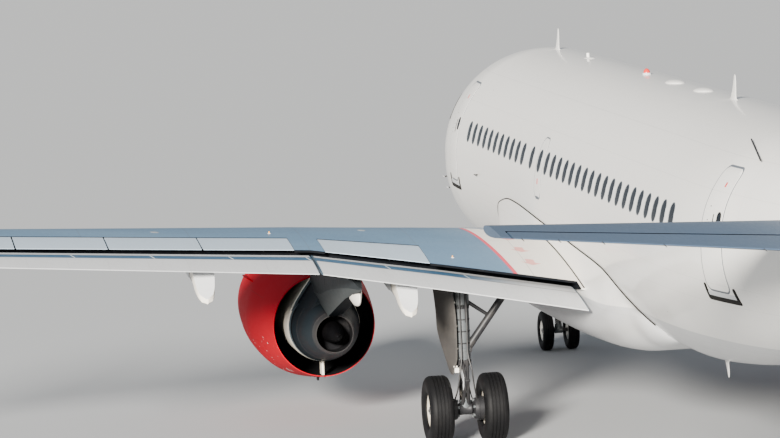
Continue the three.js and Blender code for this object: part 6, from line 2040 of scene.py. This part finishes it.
# ends as (inboard, aft, height), radius, material, radius at the second end
MAIN_BARS = (
    ((0, 0, 3.15), (0, 0, 2.30), 0.135, 0, None), ((0, 0, 2.32), (0, 0, 1.36), 0.128, 0, None),
    ((0, 0, 1.42), (0, 0, 1.33), 0.135, 1, None), ((0, 0, 1.62), (0, 0, 1.56), 0.135, 0, None),
    ((0, 0, 2.36), (0, 0, 2.28), 0.135, 1, None), ((0, 0, 1.40), (0, 0, 0.60), 0.092, 2, None),
    ((0, 0, 0.74), (0, 0, 0.60), 0.098, 0, None),
    *pair((0.05, 0.06, 1.46), (0.012, 0.33, 1.10), 0.034, 1, 0.022),
    *pair((0.05, 0.06, 0.674), (0.012, 0.33, 1.10), 0.034, 1, 0.022),
    ((-0.045, 0.33, 1.10), (0.045, 0.33, 1.10), 0.026, 1, None),
    ((-0.085, 0.08, 1.46), (0.085, 0.08, 1.46), 0.030, 1, None),
    ((-0.085, 0.06, 0.69), (0.085, 0.06, 0.69), 0.030, 1, None),
    ((0.02, 0, 1.52), (0.74, 0, 2.48), 0.066, 1, 0.062), ((0.70, 0, 2.42), (0.86, -0.04, 3.0), 0.080, 1, 0.07),
    ((0.72, -0.075, 2.45), (0.72, 0.075, 2.45), 0.055, 1, None),
    ((0.06, -0.02, 2.42), (0.47, -0.02, 2.13), 0.036, 1, 0.030),
    ((0.09, -0.075, 1.58), (0.09, 0.075, 1.58), 0.058, 1, None), ((0, -0.06, 1.9), (0, -0.56, 3.0), 0.060, 0, 0.055),
    ((0, -0.11, 2.10), (0, -0.11, 1.20), 0.026, 1, None), ((0.055, 0.12, 2.9), (0.055, 0.12, 2.05), 0.022, 1, None),
    ((0.06, -0.10, 2.42), (0.06, 0.06, 2.42), 0.048, 1, None),
    ((0.47, -0.08, 2.13), (0.47, 0.04, 2.13), 0.040, 1, None),
)
# radius and corners as (inboard, aft, height)
MAIN_HOSES = (
    (0.012, ((0.03, 0.14, 2.9), (0.06, 0.15, 2.2), (0.05, 0.17, 1.6),
             (0.10, 0.24, 1.25), (0.14, 0.20, 0.95), (0.20, 0.10, 0.72))),
    (0.012, ((-0.03, 0.14, 2.9), (-0.05, 0.15, 2.2), (-0.05, 0.17, 1.6),
             (-0.10, 0.23, 1.22), (-0.14, 0.19, 0.95), (-0.20, 0.10, 0.72))),
    (0.010, ((0.08, -0.12, 2.7), (0.09, -0.14, 2.0), (0.08, -0.13, 1.5),
             (0.09, -0.16, 1.1), (0.13, -0.12, 0.80), (0.16, -0.08, 0.68))),
)


@dataclass
class MainGear(Gear):
    """One main gear: its leg with stays, links, brakes and hoses, the leg's door, and a pair of wheels."""

    side: Side
    clear: float = 0.1287  # from the leg's line to the inner face of its door

    def build(self) -> None:
        """Makes every piece of this gear."""
        x, side = self.side.value * MAIN_X, self.side.value
        label = self.side.label
        skin = Skin(f"main_gear_leg_{label}_skin")
        self.bars(skin, MAIN_BARS, x, MAIN_S, side)
        self.housing(skin, MAIN_WHEEL, x, MAIN_S, 0.12, 0.105, 1)
        for out in (-1, 1):
            self.brake(skin, x, out)
        for radius, corners in MAIN_HOSES:
            self.hose(skin, corners, x, MAIN_S, side, radius, 3)
        for z in np.arange(1.7, 2.9, 0.2):
            skin.turned([(z - 0.012, 0.126), (z - 0.008, 0.1345), (z + 0.008, 0.1345), (z + 0.012, 0.126)],
                        (x, MAIN_S, 0), "z", 1, 40, loop=True)
        finishes = [GEAR_PAINT, DARK_STEEL, CHROME, HOSE]
        fit(skin.build(finishes), "airframe", "gear_paint", f"main_gear_leg_{label}")
        self.door(x)
        tyres = {side: f"main_tyre_outer_{label}", -side: f"main_tyre_inner_{label}"}
        self.wheels(MAIN_WHEEL, f"main_wheels_{label}", x, MAIN_S, tyres)

    def brake(self, skin: Skin, x: float, out: int) -> None:
        """Adds a brake: a stack of discs and a carrier with pistons, between the leg and a wheel."""
        profile = np.array([
            (0.135, 0.066), (0.135, 0.14), (0.155, 0.175), (0.20, 0.18), (0.20, 0.205), (0.225, 0.205),
            (0.225, 0.195), (0.245, 0.195), (0.245, 0.205), (0.30, 0.205), (0.30, 0.066),
        ]) * [out, 1]
        skin.turned(profile, (x, MAIN_S, MAIN_WHEEL.radius), "x", 1, 60, loop=True)
        for turn in np.arange(6) * TURN / 6 + 0.3:
            at = (MAIN_S + 0.145 * math.cos(turn), MAIN_WHEEL.radius + 0.145 * math.sin(turn))
            skin.bar((x + out * 0.118, *at), (x + out * 0.19, *at), 0.026, 0, 14)

    def door(self, x: float) -> None:
        """The fairing panel outboard of the leg: a plate curved fore and aft, ribs inside, and its brackets."""
        side = self.side.value
        table = Table("z front rear out splay", (1.18, 15.95, 16.20, 0.06, 0.0), (1.5, 15.72, 16.30, 0.0, 0.12),
                      (2.0, 15.56, 16.32, 0.0, 0.20), (2.79, 15.56, 16.32, 0.06, 0.20))
        z = steps(table.places, 0.06)
        front, rear, out, splay = (table.smooth(name, z) for name in table.names[1:])
        share = (1 - np.cos(np.linspace(0, math.pi, 14))) / 2
        inner = x + side * (self.clear + out[:, None] + splay[:, None] * (1 - share))
        s = front[:, None] + (rear - front)[:, None] * share
        thick = 0.034 * (0.35 + 0.65 * np.sin(share * math.pi) ** 0.5)
        edge = np.interp(z, [1.18, 1.2, 2.77, 2.79], [0.5, 1, 1, 0.5])[:, None]
        outer = inner + side * thick * edge
        ring = np.concatenate([stack(inner, s, z[:, None]), stack(outer, s, z[:, None])[:, ::-1]], 1)
        skin = Skin(f"main_gear_door_{self.side.label}_skin").loft(ring, 0)
        for level in (1.32, 1.62, 2.0, 2.4):
            reach = float(np.interp(level, z, out)) + self.clear
            low, high = (reach - 0.03, 16.0, level - 0.012), (reach + 0.03, 16.24, level + 0.012)
            skin.block((x + side * low[0], *low[1:]), (x + side * high[0], *high[1:]), 1)
        for level in (1.55, 2.35):
            skin.bar((x + side * 0.10, MAIN_S - 0.14, level), (x + side * 0.14, MAIN_S - 0.14, level), 0.03, 1, 14)
        skin.block((x + side * 0.105, 15.95, 1.22), (x + side * 0.175, 16.27, 1.30), 1)
        piece = skin.build([LEG_DOOR_PAINT, CREAM_PAINT])
        fit(piece, "airframe", "gear_paint", f"main_gear_door_{self.side.label}")


NOSE_BARS = (
    ((0, 0, 2.149), (0, 0, 1.12), 0.092, 0, None), ((0, 0, 1.16), (0, 0, 1.012), 0.118, 0, None),
    ((0, 0, 1.50), (0, 0, 1.44), 0.105, 1, None), ((0, -0.04, 1.33), (0, -0.70, 2.10), 0.042, 0, 0.036),
    ((-0.27, -0.7, 2.105), (0.27, -0.7, 2.105), 0.040, 1, None), ((-0.33, 0, 2.08), (0.33, 0, 2.08), 0.060, 0, None),
    ((0.09, -0.02, 1.36), (0.09, -0.60, 2.04), 0.020, 1, 0.016),
    ((-0.06, -0.07, 1.33), (0.06, -0.07, 1.33), 0.034, 1, None),
    ((-0.22, -0.10, 1.66), (0.22, -0.10, 1.66), 0.026, 0, None),
    ((-0.20, -0.075, 1.07), (0.20, -0.075, 1.07), 0.040, 1, None),
    ((-0.105, -0.02, 1.2), (-0.105, -0.02, 1.9), 0.012, 2, None),
    ((0.105, 0.03, 1.2), (0.105, 0.03, 1.9), 0.012, 2, None),
)
STEERING_BARS = (
    ((0, 0, 1.009), (0, 0, 0.95), 0.112, 0, None), ((0, 0, 0.98), (0, 0, 0.40), 0.064, 1, None),
    ((0, 0, 0.50), (0, 0, 0.40), 0.070, 0, None),
    *pair((0.035, 0.07, 0.965), (0.008, 0.25, 0.748), 0.022, 0, 0.014),
    *pair((0.035, 0.05, 0.445), (0.008, 0.25, 0.748), 0.022, 0, 0.014),
    ((-0.03, 0.25, 0.748), (0.03, 0.25, 0.748), 0.018, 2, None),
    ((-0.055, 0.07, 0.965), (0.055, 0.07, 0.965), 0.018, 2, None),
)


@dataclass
class NoseGear(Gear):
    """The nose gear: fixed leg with its stay, actuator and lamps, steered lower leg, wheels and two doors."""

    lamp_x: float = 0.20
    lamp_z: float = 1.66
    flank: float = 0.405  # from the middle to the inner face of a door

    def build(self) -> None:
        """Makes every piece of the nose gear."""
        skin = Skin("nose_gear_leg_skin")
        self.bars(skin, NOSE_BARS, 0, NOSE_S)
        for side in (-1, 1):
            spot = (side * self.lamp_x, NOSE_S - 0.10, self.lamp_z)
            skin.bar(spot, (spot[0], spot[1] - 0.07, spot[2]), 0.045, 0, 28, 0.075)
            skin.bar((spot[0], spot[1] - 0.069, spot[2]), (spot[0], spot[1] - 0.076, spot[2]), 0.070, 3, 28)
        corners = ((0.05, 0.10, 2.05), (0.07, 0.11, 1.6), (0.06, 0.12, 1.25), (0.03, 0.13, 1.12))
        self.hose(skin, corners, 0, NOSE_S, 1, 0.010, 2)
        finishes = [GEAR_PAINT, DARK_STEEL, HOSE, LAMP_CLEAR]
        fit(skin.build(finishes), "airframe", "gear_paint", "nose_gear_leg")
        self.steering()
        for side in Side:
            self.door(side)
        self.wheels(NOSE_WHEEL, "nose_wheels", 0, NOSE_S, {1: "nose_tyre_left", -1: "nose_tyre_right"})

    def steering(self) -> None:
        """The lower leg: chromed slide, axle housing, torque links and the flat-fronted lug of the tow bar."""
        skin = Skin("nose_gear_steering_skin")
        self.bars(skin, STEERING_BARS, 0, NOSE_S)
        self.housing(skin, NOSE_WHEEL, 0, NOSE_S, 0.078, 0.070, 0)
        skin.block((-0.042, NOSE_S - 0.15, 0.339), (0.042, NOSE_S - 0.055, 0.423), 0, 0.005)
        fit(skin.build([GEAR_PAINT, CHROME, DARK_STEEL]), "nose_steering", "gear_paint", "nose_gear_steering")

    def door(self, side: Side) -> None:
        """One door beside the leg: a plate that bends outwards lower down, with two ribs and hinge arms."""
        table = Table("z out", (1.15, 0.11), (1.4, 0.07), (1.9, 0.0))
        z = steps(table.places, 0.06)
        x = side.value * (self.flank + table.smooth("out", z))[:, None]
        share = (1 - np.cos(np.linspace(0, math.pi, 12))) / 2
        trim = 0.05 * np.maximum(0, 1 - (z - 1.15) / 0.10)[:, None] ** 2
        s = 5.0 + trim + (0.95 - 2 * trim) * share
        thick = 0.028 * side.value
        ring = np.concatenate([stack(x, s, z[:, None]), stack(x + thick, s, z[:, None])[:, ::-1]], 1)
        skin = Skin(f"nose_gear_door_{side.label}_skin").loft(ring, 0)
        for level in (1.3, 1.62):
            inner = side.value * (self.flank + float(table.smooth("out", level)))
            edges = (inner - side.value * 0.02, inner + side.value * 0.004)
            skin.block((edges[0], 5.06, level - 0.012), (edges[1], 5.89, level + 0.012), 1)
        for place in (5.15, 5.8):
            skin.bar((side.value * 0.395, place, 1.78), (side.value * 0.34, place, 1.92), 0.016, 2, 12)
        fit(skin.build([WHITE_PAINT, PRIMER, DARK_STEEL]), "airframe", "hull_paint", f"nose_gear_door_{side.label}")


ASSEMBLIES = [
    Fuselage(), BellyFairing(), *(WingHalf(side) for side in Side), *(Engine(side) for side in Side), Tail(),
    *(MainGear(side) for side in Side), NoseGear(),
]


# Studio


@dataclass(frozen=True)
class Studio:
    """The camera at the photograph's view, a sun low over its shoulder, a pale sky and a pale floor."""

    azimuth: float = 171.084
    elevation: float = 5.787
    roll: float = -2.392
    aim: Place = (5.063, 0.0, 3.931)
    distance: float = 73.494
    focal: float = 4462.69  # in pixels of a picture 780 wide
    width: float = 780.0
    sun_from: Place = (0.40, 0.87, 0.27)
    sun_power: float = 16.0
    sky: Colour = (0.80, 0.86, 0.94)
    sky_power: float = 0.5
    floor: Colour = (0.40, 0.41, 0.42)

    def build(self) -> None:
        """Makes the camera, the lights and the floor."""
        self.camera()
        self.lights()
        self.ground()

    def camera(self) -> None:
        """Places the camera on a sphere about the aim, rolled about its line of sight."""
        turn, rise, roll = (math.radians(angle) for angle in (self.azimuth, self.elevation, self.roll))
        back = Vector((math.sin(turn) * math.cos(rise), -math.cos(turn) * math.cos(rise), math.sin(rise)))
        right = (-back).cross(Vector((0, 0, 1))).normalized()
        up = right.cross(-back)
        rolled = right * math.cos(roll) + up * math.sin(roll)
        upright = up * math.cos(roll) - right * math.sin(roll)
        lens = bpy.data.cameras.new("camera")
        lens.sensor_width = 36.0
        lens.lens = lens.sensor_width * self.focal / self.width
        lens.clip_start, lens.clip_end = 1.0, 2000.0
        camera = bpy.data.objects.new("camera", lens)
        camera.matrix_world = Matrix.Translation(Vector(self.aim) + back * self.distance) @ Matrix(
            (rolled, upright, back)
        ).transposed().to_4x4()
        bpy.context.scene.collection.objects.link(camera)
        bpy.context.scene.camera = camera

    def lights(self) -> None:
        """A soft sun and an even sky."""
        lamp = bpy.data.lights.new("sun", "SUN")
        lamp.energy, lamp.angle, lamp.color = self.sun_power, math.radians(9), (1.0, 0.955, 0.88)
        sun = bpy.data.objects.new("sun", lamp)
        sun.rotation_mode = "QUATERNION"
        sun.rotation_quaternion = Vector(self.sun_from).to_track_quat("Z", "Y")
        bpy.context.scene.collection.objects.link(sun)
        world = bpy.data.worlds.new("sky")
        world.use_nodes = True
        backdrop = world.node_tree.nodes["Background"]
        backdrop.inputs["Color"].default_value = (*self.sky, 1)
        backdrop.inputs["Strength"].default_value = self.sky_power
        bpy.context.scene.world = world

    def ground(self) -> None:
        """A wide thin slab whose top is the ground."""
        span = 500.0
        finish = Finish("floor", self.floor, 0.85, grime=0.0, wave=0.0)
        slab = Skin("floor").block((-span, -span, -0.5), (span, span, 0.0), 0, 0.0)
        slab.build([finish])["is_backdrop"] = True


def main() -> None:
    """Builds the aircraft's sub-assemblies and the studio."""
    logging.basicConfig(level=logging.INFO, format="%(name)s %(message)s")
    for assembly in ASSEMBLIES:
        assembly.build()
    Studio().build()
    boxes = {"cad": CAD_BOX, "visual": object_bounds()}
    sizes = {name: [[round(value, 5) for value in corner] for corner in box] for name, box in boxes.items()}
    log.info("boxes %s", sizes)


if __name__ == "__main__":
    main()
